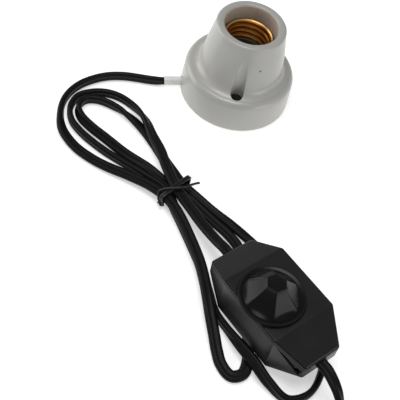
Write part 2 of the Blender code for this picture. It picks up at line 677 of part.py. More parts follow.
def seam_cutter(name, shift, parent, inset=0.0):
    """What lies above the seam, which runs parallel to the casing's top."""
    full = TOP_HALF_LENGTH + SLOPE_LENGTH + CUT * 3
    drop = (CASE_HEIGHT - END_TOP) / SLOPE_LENGTH * (full - TOP_HALF_LENGTH)
    seam = CASE_HEIGHT - LID_DEPTH + shift
    outline = [(full, seam - drop), (full, CASE_HEIGHT + 4 * CUT), (-full, CASE_HEIGHT + 4 * CUT),
               (-full, seam - drop), (-TOP_HALF_LENGTH, seam), (TOP_HALF_LENGTH, seam)]
    upright = Matrix.Rotation(math.radians(90.0), 4, "X")
    return plate(name, outline, inset - CASE_WIDTH, CASE_WIDTH - inset, None, parent, turn=upright)


def facet_recess(name, side, parent):
    """The wedge-shaped recess beside one end of the casing, and the screw hole in it."""
    end = NEAR_END_WIDTH if side > 0 else FAR_END_WIDTH
    corner = Vector((TOP_HALF_LENGTH * side, -CASE_WIDTH / 2 * side, 0.0))
    tip = Vector(((TOP_HALF_LENGTH + SLOPE_LENGTH) * side, -end / 2 * side, 0.0))
    along = (tip - corner).normalized()
    length = (tip - corner).length
    outward = Vector((along.y, -along.x, 0.0))
    seam = CASE_HEIGHT - LID_DEPTH - GAP
    seam_end = END_TOP - LID_DEPTH - GAP
    outline = [(length * 0.08, seam - 1.6 * MM), (length * 0.86, END_BOTTOM + 0.9 * MM),
               (length * 0.95, seam_end - 0.4 * MM)]
    turn = Matrix((
        (along.x, 0.0, outward.x, corner.x),
        (along.y, 0.0, outward.y, corner.y),
        (0.0, 1.0, 0.0, 0.0),
        (0.0, 0.0, 0.0, 1.0),
    ))
    wedge = plate(name, outline, -RECESS_DEPTH, CUT, None, parent, turn=turn)
    spot = corner + along * length * 0.8 + Vector((0.0, 0.0, (seam_end + END_BOTTOM) / 2))
    hole = rod(name + "_hole", SIDE_SCREW_RADIUS, spot - outward * CASE_WALL * 2,
               spot + outward * CUT, parent=parent)
    return wedge, hole


def dimmer_casing(black, parent):
    """Lid and tray of the dimmer, each a thin moulding."""
    shared = CASE_HEIGHT - CASE_WALL
    spots = (PILLAR_PLACE, -PILLAR_PLACE)
    up = Vector((0.0, 0.0, 1.0))
    lid = round_edges(case_form("dimmer_lid", 0.0, parent, black), CASE_ROUND)
    keep(lid, seam_cutter("lid_keeper", GAP / 2, parent))
    cut(lid, case_form("lid_hollow", CASE_WALL, parent))
    for number, spot in enumerate(spots):
        pillar = rod(f"lid_pillar_{number}", PILLAR_RADIUS, spot + up * PILLAR_FOOT,
                     spot + up * (shared + CUT / 2), parent=parent)
        join(lid, pillar)
        cut(lid, rod(f"pillar_bore_{number}", CASE_SCREW_RADIUS + GAP, spot,
                     spot + up * (CASE_SCREW_LENGTH + CUT), parent=parent, sides=16))
    knob = Vector((0.0, KNOB_OFFSET, 0.0))
    cut(lid, rod("shaft_hole", SHAFT_HOLE_RADIUS, knob + up * (shared - CUT),
                 knob + up * (CASE_HEIGHT + CUT), parent=parent, sides=28))

    tray = round_edges(case_form("dimmer_tray", 0.0, parent, black), CASE_ROUND)
    cut(tray, case_form("tray_hollow", CASE_WALL, parent))
    cut(tray, seam_cutter("tray_trimmer", -GAP / 2, parent))
    for number, spot in enumerate(spots):
        boss = rod(f"tray_boss_{number}", CASE_HEAD_RADIUS + CASE_WALL / 2,
                   spot + up * CUT, spot + up * (PILLAR_FOOT - GAP), parent=parent)
        join(tray, boss)
        cut(tray, rod(f"tray_screw_hole_{number}", CASE_SCREW_RADIUS + GAP, spot - up * CUT,
                      spot + up * PILLAR_FOOT, parent=parent, sides=16))
        cut(tray, rod(f"tray_head_pocket_{number}", CASE_HEAD_RADIUS + GAP, spot - up * CUT,
                      spot + up * (CASE_HEAD_HEIGHT + 2 * GAP), parent=parent))
    for number, (x, y) in enumerate(((1, -1), (-1, 1))):
        post = Vector((x * PILLAR_PLACE.x, y * (BOARD_WIDTH / 2 - CASE_WALL), 0.0))
        join(tray, rod(f"board_post_{number}", CASE_WALL, post + up * CUT,
                       post + up * (BOARD_HEIGHT - GAP), parent=parent, sides=16))
    slot_height = (END_TOP + END_BOTTOM) / 2
    for name, side in (("near", 1.0), ("far", -1.0)):
        rib_top = slot_height - CORD_DIAMETER / 2 - GAP
        rib = block(f"{name}_rib", (CLAMP_LENGTH, CLAMP_WIDTH, rib_top - END_BOTTOM / 2),
                    (side * CLAMP_PLACE, 0.0, (rib_top + END_BOTTOM / 2) / 2), parent=parent)
        join(tray, rib)
        cut(tray, block(f"{name}_slot", (SLOPE_LENGTH / 2, SLOT_WIDTH, SLOT_HEIGHT),
                        (side * (TOP_HALF_LENGTH + SLOPE_LENGTH), 0.0, slot_height), parent=parent,
                        rounding=0.9 * MM))
        for y in (-0.5, 0.5):
            spot = Vector((side * CLAMP_PLACE, y * CLAMP_SCREW_SPACING, 0.0))
            cut(tray, rod(f"{name}_rib_bore_{y}", CASE_SCREW_RADIUS + GAP,
                          spot + up * (rib_top - 3 * CUT), spot + up * (rib_top + CUT),
                          parent=parent, sides=16))
        cut(tray, *facet_recess(f"{name}_recess", side, parent))
    return lid, tray


def casing_screws(steel, parent):
    up = Vector((0.0, 0.0, 1.0))
    for name, spot in (("near", PILLAR_PLACE), ("far", -PILLAR_PLACE)):
        low = spot + up * 2 * GAP
        shank = rod(f"{name}_casing_screw", CASE_SCREW_RADIUS, low, spot + up * CASE_SCREW_LENGTH,
                    steel, parent, sides=16)
        join(shank, rod(f"{name}_casing_screw_head", CASE_HEAD_RADIUS, low,
                        low + up * CASE_HEAD_HEIGHT, parent=parent))
        for turn, size in enumerate(((3.0 * MM, 0.6 * MM, CUT), (0.6 * MM, 3.0 * MM, CUT))):
            cut(shank, block(f"{name}_casing_screw_slot_{turn}", size, low, parent=parent))


def cord_clamps(black, steel, parent):
    """A bar over each cord inside the casing, held by two screws in the tray's rib."""
    up = Vector((0.0, 0.0, 1.0))
    level = (END_TOP + END_BOTTOM) / 2 + CORD_DIAMETER / 2 + GAP
    for name, side in (("far", -1.0), ("near", 1.0)):
        centre = Vector((side * CLAMP_PLACE, 0.0, level + CLAMP_THICKNESS / 2))
        bar = block(f"{name}_cord_clamp", (CLAMP_LENGTH, CLAMP_WIDTH, CLAMP_THICKNESS), centre,
                    black, parent, rounding=0.3 * MM)
        for hand, y in (("right", -0.5), ("left", 0.5)):
            spot = Vector((side * CLAMP_PLACE, y * CLAMP_SCREW_SPACING, 0.0))
            top = spot + up * (level + CLAMP_THICKNESS + GAP)
            cut(bar, rod(f"{name}_{hand}_clamp_hole", CASE_SCREW_RADIUS + GAP,
                         spot + up * (level - CUT), top, parent=parent, sides=16))
            foot = spot + up * (level - CORD_DIAMETER - 3 * CUT)
            shank = rod(f"{name}_{hand}_clamp_screw", CASE_SCREW_RADIUS, foot, top + up * GAP,
                        steel, parent, sides=12)
            join(shank, rod(f"{name}_{hand}_clamp_head", CASE_HEAD_RADIUS * 0.85, top,
                            top + up * CLAMP_HEAD_HEIGHT, parent=parent, sides=16))


def knob_and_shaft(black, grey, parent):
    """The knob turns with the shaft of the potentiometer, about the empty's Z axis."""
    axis = bpy.data.objects.new("knob_axis", None)
    CUTTERS.objects.link(axis)
    axis.parent = parent
    axis.location = (0.0, KNOB_OFFSET, CASE_HEIGHT + KNOB_CLEARANCE)
    dish = KNOB_SKIRT * 0.6
    skirt = [(0.0, dish), (KNOB_RADIUS * 0.74, dish), (KNOB_RADIUS * 0.9, KNOB_SKIRT * 0.86),
             (KNOB_RADIUS - 0.5 * MM, KNOB_SKIRT), (KNOB_RADIUS, KNOB_SKIRT - 0.5 * MM),
             (KNOB_RADIUS, 0.2 * MM), (KNOB_RADIUS - 0.2 * MM, 0.0), (0.0, 0.0)]
    knob = turned("dimmer_knob", skirt, black, axis, steps=56)
    span = GRIP_FOOT_RADIUS - GRIP_TOP_RADIUS
    rise = KNOB_HEIGHT - dish
    foot = dish * 0.5
    grip = [(0.0, KNOB_HEIGHT), (GRIP_TOP_RADIUS, KNOB_HEIGHT)]
    for share in (0.2, 0.4, 0.6, 0.8, 1.0):
        grip.append((GRIP_TOP_RADIUS + span * share ** 1.7, foot + (rise + dish * 0.5) * (1 - share)))
    grip.append((0.0, foot))
    join(knob, turned("knob_grip", grip, None, axis, steps=GRIP_SIDES))
    cut(knob, rod("knob_bore", SHAFT_RADIUS + GAP, (0.0, 0.0, -CUT), (0.0, 0.0, KNOB_BORE_DEPTH),
                  parent=axis))
    low = BOARD_HEIGHT + BOARD_THICKNESS + POT_HEIGHT - 2 * CUT - CASE_HEIGHT - KNOB_CLEARANCE
    rod("potentiometer_shaft", SHAFT_RADIUS, (0.0, 0.0, low), (0.0, 0.0, KNOB_BORE_DEPTH - GAP),
        grey, axis)


def potentiometer(grey, parent):
    level = BOARD_HEIGHT + BOARD_THICKNESS + GAP
    spot = Vector((0.0, KNOB_OFFSET, level))
    up = Vector((0.0, 0.0, 1.0))
    top = spot + up * POT_HEIGHT
    body = rod("potentiometer_body", POT_RADIUS, spot, top, grey, parent, sides=28)
    join(body, rod("pot_bushing", BUSHING_RADIUS, top - up * CUT, top + up * BUSHING_HEIGHT,
                   parent=parent))
    cut(body, rod("pot_bore", SHAFT_RADIUS + GAP, top - up * (2 * CUT + 2 * GAP),
                  top + up * (BUSHING_HEIGHT + CUT), parent=parent))


def circuit_board(brown, parent):
    board = block("circuit_board", (BOARD_LENGTH, BOARD_WIDTH, BOARD_THICKNESS),
                  (0.0, 0.0, BOARD_HEIGHT + BOARD_THICKNESS / 2), brown, parent)
    up = Vector((0.0, 0.0, 1.0))
    for number, spot in enumerate((PILLAR_PLACE, -PILLAR_PLACE)):
        cut(board, rod(f"board_notch_{number}", PILLAR_RADIUS + GAP, spot,
                       spot + up * CASE_HEIGHT / 2, parent=parent))


def on_board(name, size, x, y, material, parent, rounding=0.0):
    """A block-shaped part soldered to the board."""
    level = BOARD_HEIGHT + BOARD_THICKNESS + GAP
    return block(name, size, (x, y, level + size[2] / 2), material, parent, rounding)


def electronics(materials, parent):
    level = BOARD_HEIGHT + BOARD_THICKNESS + GAP
    triac = on_board("triac", (4.4 * MM, 9.6 * MM, 8.6 * MM), 13.4 * MM, 4.0 * MM,
                     materials["black"], parent)
    tab = on_board("triac_tab", (1.2 * MM, 9.6 * MM, 11.6 * MM), 10.8 * MM, 4.0 * MM, None, parent)
    join(triac, tab)
    on_board("film_capacitor", (11.0 * MM, 5.6 * MM, 10.6 * MM), -2.0 * MM, 9.6 * MM,
             materials["yellow"], parent, 0.5 * MM)
    on_board("timing_capacitor", (3.2 * MM, 7.0 * MM, 7.4 * MM), 13.4 * MM, -6.6 * MM,
             materials["brown"], parent, 0.6 * MM)
    place_ = Vector((-13.6, 2.4, level / MM)) * MM
    height = 10.0 * MM
    flange = 4.4 * MM
    waist = 2.4 * MM
    web = 1.2 * MM
    core = [(0.0, height), (flange, height), (flange, height - web), (waist, height - web),
            (waist, web), (flange, web), (flange, 0.0), (0.0, 0.0)]
    turned("choke_core", core, materials["ferrite"], parent, 28, place_)
    winding = [(flange - 0.4 * MM, height - web - GAP), (flange - 0.4 * MM, web + GAP),
               (waist + GAP, web + GAP), (waist + GAP, height - web - GAP)]
    turned("choke_winding", winding, materials["copper"], parent, 28, place_, closed=True)
    for name, y, start, end, radius, look in (
        ("near_resistor", -4.4, -18.0, -11.0, 1.3, "tan"),
        ("far_resistor", -8.2, -18.0, -11.0, 1.3, "tan"),
        ("fuse", 9.8, -18.5, -9.5, 1.9, "white"),
    ):
        middle = level + radius * MM
        rod(name, radius * MM, (start * MM, y * MM, middle), (end * MM, y * MM, middle),
            materials[look], parent, sides=16)
    for name, side in (("far_terminal_block", -1.0), ("near_terminal_block", 1.0)):
        holder = on_board(name, (5.2 * MM, 12.0 * MM, 7.0 * MM), side * 21.0 * MM, 0.0,
                          materials["green"], parent, 0.4 * MM)
        for y in (-3.0 * MM, 3.0 * MM):
            cut(holder, rod(f"{name}_well_{y / MM:.0f}", 1.7 * MM, (side * 21.0 * MM, y, level + 4.6 * MM),
                            (side * 21.0 * MM, y, level + 8.0 * MM), parent=parent, sides=16))


def cords(black, live, neutral, frame):
    """The holder cord, the mains lead, its coil and tail, and the cores in the lamp holder."""
    level = (END_TOP + END_BOTTOM) / 2
    reach = TOP_HALF_LENGTH + SLOPE_LENGTH
    spot = frame.matrix_world
    straight = (reach + 4.6 * MM, reach + 1.4 * MM, reach - 4.0 * MM, CORD_END)
    far = [spot @ Vector((-x, 0.0, level)) for x in straight]
    tube("holder_cord", smooth_route(in_metres(CORD_ROUTE) + far), CORD_DIAMETER / 2, black)
    lead = [spot @ Vector((x, 0.0, level)) for x in straight[::-1]] + in_metres(LEAD_ROUTE)
    tube("mains_lead", smooth_route(lead), CORD_DIAMETER / 2, black)
    ring = [(COIL_OUTER_RADIUS, COIL_HEIGHT), (COIL_OUTER_RADIUS, 0.1 * MM),
            (COIL_INNER_RADIUS, 0.1 * MM), (COIL_INNER_RADIUS, COIL_HEIGHT)]
    turned("mains_coil", ring, black, steps=40, at=COIL_PLACE, closed=True)
    plug_end = PLUG_FACE_X + PLUG_LENGTH + RELIEF_LENGTH + GAP
    tail = in_metres(TAIL_ROUTE) + [Vector((plug_end, PLUG_Y, PLUG_THICKNESS / 2 + 0.1 * MM))]
    tube("plug_tail", smooth_route(tail), CORD_DIAMETER / 2, black)
    tube("live_core", in_metres(LIVE_CORE_ROUTE), CORE_RADIUS, live)
    tube("neutral_core", in_metres(NEUTRAL_CORE_ROUTE), CORE_RADIUS, neutral)


def plug(black, brass):
    """A flat moulded plug with a tapered relief and two blades, lying on its broad side."""
    middle = PLUG_THICKNESS / 2 + 0.1 * MM
    back = PLUG_FACE_X + PLUG_LENGTH
    half = PLUG_WIDTH / 2
    waist = half * PLUG_NOSE
    outline = [(PLUG_FACE_X, PLUG_Y - half), (back - 9.0 * MM, PLUG_Y - half),
               (back, PLUG_Y - waist), (back, PLUG_Y + waist),
               (back - 9.0 * MM, PLUG_Y + half), (PLUG_FACE_X, PLUG_Y + half)]
    body = plate("plug_body", outline, middle - PLUG_THICKNESS / 2, middle + PLUG_THICKNESS / 2, black)
    round_edges(body, 2.2 * MM, 3)
    root = Vector((back - CUT, PLUG_Y, middle))
    tip = Vector((back + RELIEF_LENGTH, PLUG_Y, middle))
    join(body, rod("plug_relief", RELIEF_ROOT_RADIUS, root, tip, sides=20, end_radius=RELIEF_TIP_RADIUS))
    for name, side in (("near", -0.5), ("far", 0.5)):
        y = PLUG_Y + side * BLADE_SPACING
        size = (BLADE_LENGTH + BLADE_ROOT, BLADE_THICKNESS, BLADE_HEIGHT)
        centre = (PLUG_FACE_X - (BLADE_LENGTH - BLADE_ROOT) / 2, y, middle)
        pocket = (size[0] + 2 * GAP, size[1] + 2 * GAP, size[2] + 2 * GAP)
        cut(body, block(f"{name}_blade_pocket", pocket, centre))
        block(f"{name}_blade", size, centre, brass, rounding=0.3 * MM)


def build():
    porcelain = finish("glazed_porcelain", (0.62, 0.62, 0.59), 0.18)
    brass = finish("shell_brass", (0.72, 0.46, 0.16), 0.28, 1.0)
    steel = finish("zinc_plated_steel", (0.62, 0.62, 0.60), 0.35, 1.0)
    white = finish("silicone_sleeve", (0.86, 0.86, 0.84), 0.4)
    sheath = finish("black_cord_sheath", (0.012, 0.012, 0.013), 0.42)
    plastic = finish("black_casing_plastic", (0.022, 0.022, 0.024), 0.3)
    gloss = finish("black_knob_plastic", (0.015, 0.015, 0.016), 0.12)
    grey = finish("potentiometer_grey", (0.35, 0.35, 0.36), 0.45)
    brown = finish("phenolic_board", (0.33, 0.18, 0.07), 0.55)
    blue = finish("neutral_core_blue", (0.04, 0.12, 0.42), 0.45)
    core_brown = finish("live_core_brown", (0.20, 0.08, 0.03), 0.45)
    materials = {
        "black": finish("triac_epoxy", (0.02, 0.02, 0.02), 0.5),
        "yellow": finish("film_capacitor_yellow", (0.70, 0.52, 0.10), 0.4),
        "brown": finish("timing_capacitor_brown", (0.25, 0.08, 0.03), 0.4),
        "ferrite": finish("choke_ferrite", (0.08, 0.08, 0.085), 0.6),
        "copper": finish("enamelled_copper", (0.55, 0.20, 0.06), 0.3, 1.0),
        "tan": finish("resistor_tan", (0.62, 0.47, 0.28), 0.5),
        "green": finish("terminal_green", (0.03, 0.26, 0.12), 0.45),
        "white": finish("fuse_ceramic", (0.75, 0.74, 0.70), 0.4),
    }
    porcelain_body(porcelain)
    screw_shell(brass)
    contact(brass, steel)
    shell_fixings(steel)
    terminals(brass, steel)
    sleeve(white)
    frame = dimmer_frame()
    dimmer_casing(plastic, frame)
    casing_screws(steel, frame)
    cord_clamps(plastic, steel, frame)
    knob_and_shaft(gloss, grey, frame)
    potentiometer(grey, frame)
    circuit_board(brown, frame)
    electronics(materials, frame)
    cords(sheath, core_brown, blue, frame)
    twist_tie(sheath)
    plug(plastic, brass)


build()
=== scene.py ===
"""Looks of a porcelain heat lamp holder, its tied flat cord, in-line dimmer, lead and plug."""

import math

import bmesh
import bpy
from mathutils import Matrix, Vector


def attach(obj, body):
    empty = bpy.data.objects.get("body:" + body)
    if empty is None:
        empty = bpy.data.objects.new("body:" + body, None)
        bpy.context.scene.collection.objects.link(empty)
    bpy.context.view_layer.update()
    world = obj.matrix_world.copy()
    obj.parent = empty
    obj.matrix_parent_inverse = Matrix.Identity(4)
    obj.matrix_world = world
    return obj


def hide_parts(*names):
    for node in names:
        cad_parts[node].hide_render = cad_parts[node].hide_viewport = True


bl_info = {
    "name": "Heat Lamp Holder",
    "version": (1, 0, 0),
    "blender": (4, 5, 0),
    "location": "3D View > Sidebar > Lamp Holder",
    "description": "Porcelain lamp holder with a tied flat cord, a rotary dimmer and a plug",
    "category": "Object",
}

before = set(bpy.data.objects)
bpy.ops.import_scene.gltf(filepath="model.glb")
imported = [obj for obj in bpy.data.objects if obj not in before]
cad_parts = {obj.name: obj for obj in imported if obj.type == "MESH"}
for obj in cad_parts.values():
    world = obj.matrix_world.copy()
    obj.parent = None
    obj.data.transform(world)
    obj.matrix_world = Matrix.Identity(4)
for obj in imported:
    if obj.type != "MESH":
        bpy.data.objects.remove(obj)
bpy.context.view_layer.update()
MM = 0.001

# Places shared with the solids; plain lengths are in millimetres
CAMERA_PLACE = (-1.76, -329.909, 336.957)
CAMERA_PITCH = 0.949133
CAMERA_ROLL = 0.271928
DIMMER_PLACE = Vector((47.2, -151.1, 5.7)) * MM
DIMMER_HEADING = math.radians(-41.7)
DIMMER_PITCH = math.radians(4.0)
GLAND_REACH = 35.1
GLAND_LEVEL = 11.95
CORD_END = 26.4
CASE_HEIGHT = 25.2
LID_HALF_LENGTH = 18.7
LID_FALL = 0.524
KNOB_OFFSET = 4.6
TIE_PLACE = Vector((-16.5, -90.6, 5.25)) * MM
TIE_ACROSS = Vector((0.45, 0.893, 0.0)).normalized()
SLEEVE_PLACE = Vector((-33.0, -8.6, 3.4)) * MM
SLEEVE_WAY = Vector((-0.932, -0.362, 0.0)).normalized()
COIL_PLACE = Vector((66.0, -238.0, 0.0))
PLUG_PLACE = Vector((-14.0, -273.0, 5.6)) * MM
HOLE_DISTANCE = 25.4 * MM
HOLE_ANGLE = math.radians(-84.6)
SHELL_SCREW_PLACE = Vector((0.4, 9.6, 0.0)) * MM
RIVET_PLACE = Vector((-3.4, 0.0, 0.0)) * MM

# The holder cord's middle line, and how far its broad side leans from flat to upright
CORD_ROUTE = [
    (-23.5, -4.9, 3.4, 1), (-27.4, -6.4, 3.4, 1), (-41.4, -11.86, 3.4, 1), (-45.1, -13.28, 3.35, 1),
    (-50.5, -14.5, 3.2, 1), (-57.0, -15.4, 3.0, 1), (-67.6, -17.6, 2.85, 1), (-77.7, -22.4, 2.85, 1),
    (-87.4, -31.6, 2.85, 1), (-92.2, -41.0, 2.85, 1), (-93.5, -50.5, 2.85, 1),
    (-91.4, -60.5, 2.85, 0.8), (-87.0, -69.0, 2.4, 0.3), (-77.6, -77.2, 2.0, 0.1),
    (-67.5, -82.0, 2.0, 0), (-57.0, -85.2, 2.4, 0), (-42.4, -88.2, 3.6, 0), (-30.1, -91.8, 5.0, 0),
    (-19.8, -97.1, 6.2, 0), (-13.4, -102.6, 6.4, 0), (-8.1, -108.8, 6.3, 0), (-3.2, -115.5, 6.2, 0),
    (1.8, -122.8, 6.2, 0), (6.1, -129.7, 6.3, 0), (10.6, -138.9, 6.6, 0), (14.8, -149.3, 6.9, 0),
    (18.6, -158.8, 6.2, 0), (22.4, -167.0, 4.4, 0), (25.6, -174.0, 2.8, 0), (29.2, -180.2, 2.1, 0),
    (35.0, -184.4, 2.0, 0), (40.2, -181.8, 2.0, 0), (41.4, -175.5, 2.0, 0), (40.0, -166.0, 1.9, 0),
    (37.0, -152.0, 1.9, 0), (31.4, -132.0, 1.9, 0), (24.8, -113.6, 2.0, 0), (17.0, -106.6, 2.1, 0),
    (9.2, -102.0, 2.2, 0), (2.0, -97.7, 2.5, 0), (-7.2, -92.1, 3.0, 0), (-15.5, -88.6, 3.3, 0),
    (-25.1, -84.2, 3.15, 0), (-33.9, -79.6, 3.2, 0.2), (-48.9, -74.0, 3.2, 0.4),
    (-63.1, -66.8, 3.2, 0.45), (-72.6, -62.0, 3.2, 0.5), (-80.4, -56.6, 3.2, 0.6),
    (-84.0, -50.4, 3.2, 0.9), (-82.0, -43.8, 3.2, 1), (-75.3, -40.9, 3.1, 1),
    (-63.0, -42.8, 2.9, 0.9), (-53.0, -47.0, 2.6, 0.4), (-42.9, -54.2, 2.3, 0.2),
    (-35.6, -61.0, 2.2, 0.1), (-28.4, -68.9, 2.6, 0), (-21.5, -76.0, 3.0, 0),
    (-13.1, -83.8, 3.45, 0.2), (-1.9, -90.0, 2.8, 0.3), (7.9, -95.4, 2.4, 0.3),
    (17.3, -99.9, 2.1, 0.2), (29.3, -106.8, 2.1, 0.2), (40.0, -113.4, 2.5, 0.6),
    (50.5, -120.6, 2.85, 1), (67.0, -136.0, 2.85, 1), (76.5, -154.0, 2.85, 1),
    (77.5, -170.0, 2.85, 1), (73.0, -183.0, 2.85, 1), (63.0, -188.6, 3.2, 1),
    (52.5, -183.6, 5.0, 0.7), (44.0, -176.4, 6.5, 0.5), (37.0, -170.8, 6.4, 0.6),
    (27.4, -161.8, 4.6, 1), (19.6, -153.4, 2.7, 0.8), (13.6, -142.5, 2.15, 0.2),
    (7.4, -129.8, 2.0, 0), (1.9, -121.6, 2.0, 0), (-3.5, -114.0, 2.0, 0), (-8.6, -107.0, 2.2, 0),
    (-13.3, -101.0, 2.6, 0), (-18.3, -94.2, 3.35, 0), (-24.2, -89.8, 3.15, 0.4),
    (-31.5, -86.2, 3.0, 1), (-40.9, -82.8, 2.9, 1), (-50.5, -79.6, 2.85, 1), (-60.4, -76.0, 2.85, 1),
    (-68.6, -72.2, 2.85, 1), (-77.0, -67.4, 2.85, 1), (-84.6, -60.8, 2.85, 1),
    (-88.3, -52.0, 2.85, 1), (-86.6, -42.6, 2.85, 1), (-79.4, -36.6, 2.85, 1),
    (-70.7, -34.0, 2.85, 1), (-62.0, -34.9, 2.9, 1), (-52.1, -40.0, 3.6, 0.9),
    (-44.4, -48.0, 5.6, 0.5), (-37.5, -58.7, 6.7, 0.2), (-30.8, -67.6, 7.1, 0),
    (-24.8, -77.4, 7.2, 0), (-16.1, -89.8, 7.2, 0), (-11.4, -95.0, 7.3, 0), (-5.6, -100.9, 8.0, 0),
    (1.2, -108.2, 9.1, 0), (7.6, -114.8, 10.8, 0), (12.6, -119.9, 12.8, 0),
]
LEAD_ROUTE = [
    (82.3, -184.6, 18.6, 0.3), (86.8, -192.0, 13.5, 0.8), (90.3, -198.5, 7.2, 1),
    (93.0, -205.5, 3.4, 1), (96.0, -213.0, 2.85, 1),
]
TAIL_ROUTE = [
    (62.0, -264.5, 8.6, 1), (52.0, -268.8, 8.9, 0.8), (43.0, -272.0, 8.0, 0.4),
    (36.3, -273.0, 5.6, 0), (33.0, -273.0, 5.6, 0),
]


def length(name, description, default):
    """A size in metres for the sidebar."""
    return bpy.props.FloatProperty(
        name=name, description=description, default=default, min=0.0, unit="LENGTH", precision=5
    )


def colour(name, description, default):
    """A colour for the sidebar."""
    return bpy.props.FloatVectorProperty(
        name=name, description=description, default=default, min=0.0, max=1.0, size=3,
        subtype="COLOR",
    )


class HolderSizes(bpy.types.PropertyGroup):
    """Sizes of the porcelain lamp holder and its threaded shell."""

    base_radius: length("Base radius", "Radius of the foot", 0.0339)
    flange_radius: length("Flange radius", "Radius of the flange at its top edge", 0.0330)
    flange_height: length("Flange height", "Height of the flange above the foot", 0.0211)
    neck_radius: length("Neck radius", "Radius of the neck above the flange", 0.0246)
    rim_radius: length("Rim radius", "Outer radius of the rim", 0.02045)
    mouth_radius: length("Mouth radius", "Inner radius of the rim", 0.0156)
    height: length("Height", "Height of the whole body", 0.0537)
    floor_level: length("Socket floor", "Height of the floor under the shell", 0.0200)
    shell_radius: length("Thread radius", "Inner radius of the shell at its ridges", 0.01235)
    thread_depth: length("Thread depth", "Depth of the rolled thread", 0.0011)
    thread_pitch: length("Thread pitch", "Rise of the thread in one turn", 0.003629)
    shell_top: length("Shell top", "Height of the shell's upper edge", 0.0446)


class CordSizes(bpy.types.PropertyGroup):
    """Sizes of the flat twin cord, its sleeve and its tie."""

    width: length("Width", "Broad side of the flat cord", 0.0061)
    thickness: length("Thickness", "Narrow side of the flat cord", 0.0033)
    sleeve_radius: length("Sleeve radius", "Outer radius of the sleeve", 0.0028)
    tie_radius: length("Tie radius", "Radius of the wire tie", 0.0007)


class DimmerSizes(bpy.types.PropertyGroup):
    """Sizes of the dimmer's knob."""

    knob_radius: length("Knob radius", "Radius of the dished skirt", 0.0163)
    knob_height: length("Knob height", "Height of the knob", 0.0120)
    knob_offset: length("Knob offset", "How far the knob sits from the middle", KNOB_OFFSET * MM)
    case_height: length("Case height", "Height of the casing", CASE_HEIGHT * MM)
    knob_gap: length("Knob gap", "Gap under the knob's skirt", 0.0006)


class Finishes(bpy.types.PropertyGroup):
    """Colours of the main finishes."""

    glaze: colour("Glaze", "Colour of the glazed porcelain", (0.425, 0.421, 0.396))
    bisque: colour("Bisque", "Colour of the bare porcelain", (0.58, 0.485, 0.40))
    brass: colour("Brass", "Colour of the threaded shell", (0.95, 0.57, 0.19))
    sheath: colour("Sheath", "Colour of the cord", (0.0055, 0.0055, 0.0058))
    casing: colour("Casing", "Colour of the dimmer's casing", (0.0135, 0.0135, 0.014))
    knob: colour("Knob", "Colour of the knob", (0.0065, 0.0063, 0.0062))
    sleeve: colour("Sleeve", "Colour of the heat sleeve", (0.80, 0.80, 0.78))
    plating: colour("Plating", "Colour of plated screws", (0.62, 0.61, 0.58))


class Signal:
    """An output socket that takes part in sums, so that a pattern reads as a formula."""

    def __init__(self, tree, socket):
        self.tree = tree
        self.socket = socket

    def maths(self, operation, *values):
        node = self.tree.nodes.new("ShaderNodeMath")
        node.operation = operation
        for socket, value in zip(node.inputs, values):
            connect(self.tree, socket, value)
        return Signal(self.tree, node.outputs[0])

    def __add__(self, other):
        return self.maths("ADD", self, other)

    def __radd__(self, other):
        return self.maths("ADD", other, self)

    def __sub__(self, other):
        return self.maths("SUBTRACT", self, other)

    def __rsub__(self, other):
        return self.maths("SUBTRACT", other, self)

    def __mul__(self, other):
        return self.maths("MULTIPLY", self, other)

    def __rmul__(self, other):
        return self.maths("MULTIPLY", other, self)

    def __truediv__(self, other):
        return self.maths("DIVIDE", self, other)

    def __pow__(self, other):
        return self.maths("POWER", self, other)

    def __gt__(self, other):
        return self.maths("GREATER_THAN", self, other)

    def __lt__(self, other):
        return self.maths("LESS_THAN", self, other)

    def sine(self):
        return self.maths("SINE", self)

    def limited(self):
        return self.maths("MINIMUM", self.maths("MAXIMUM", self, 0.0), 1.0)


def connect(tree, socket, value):
    """Link a signal to a socket, or set the socket to a plain value."""
    if isinstance(value, Signal):
        tree.links.new(value.socket, socket)
    else:
        socket.default_value = value


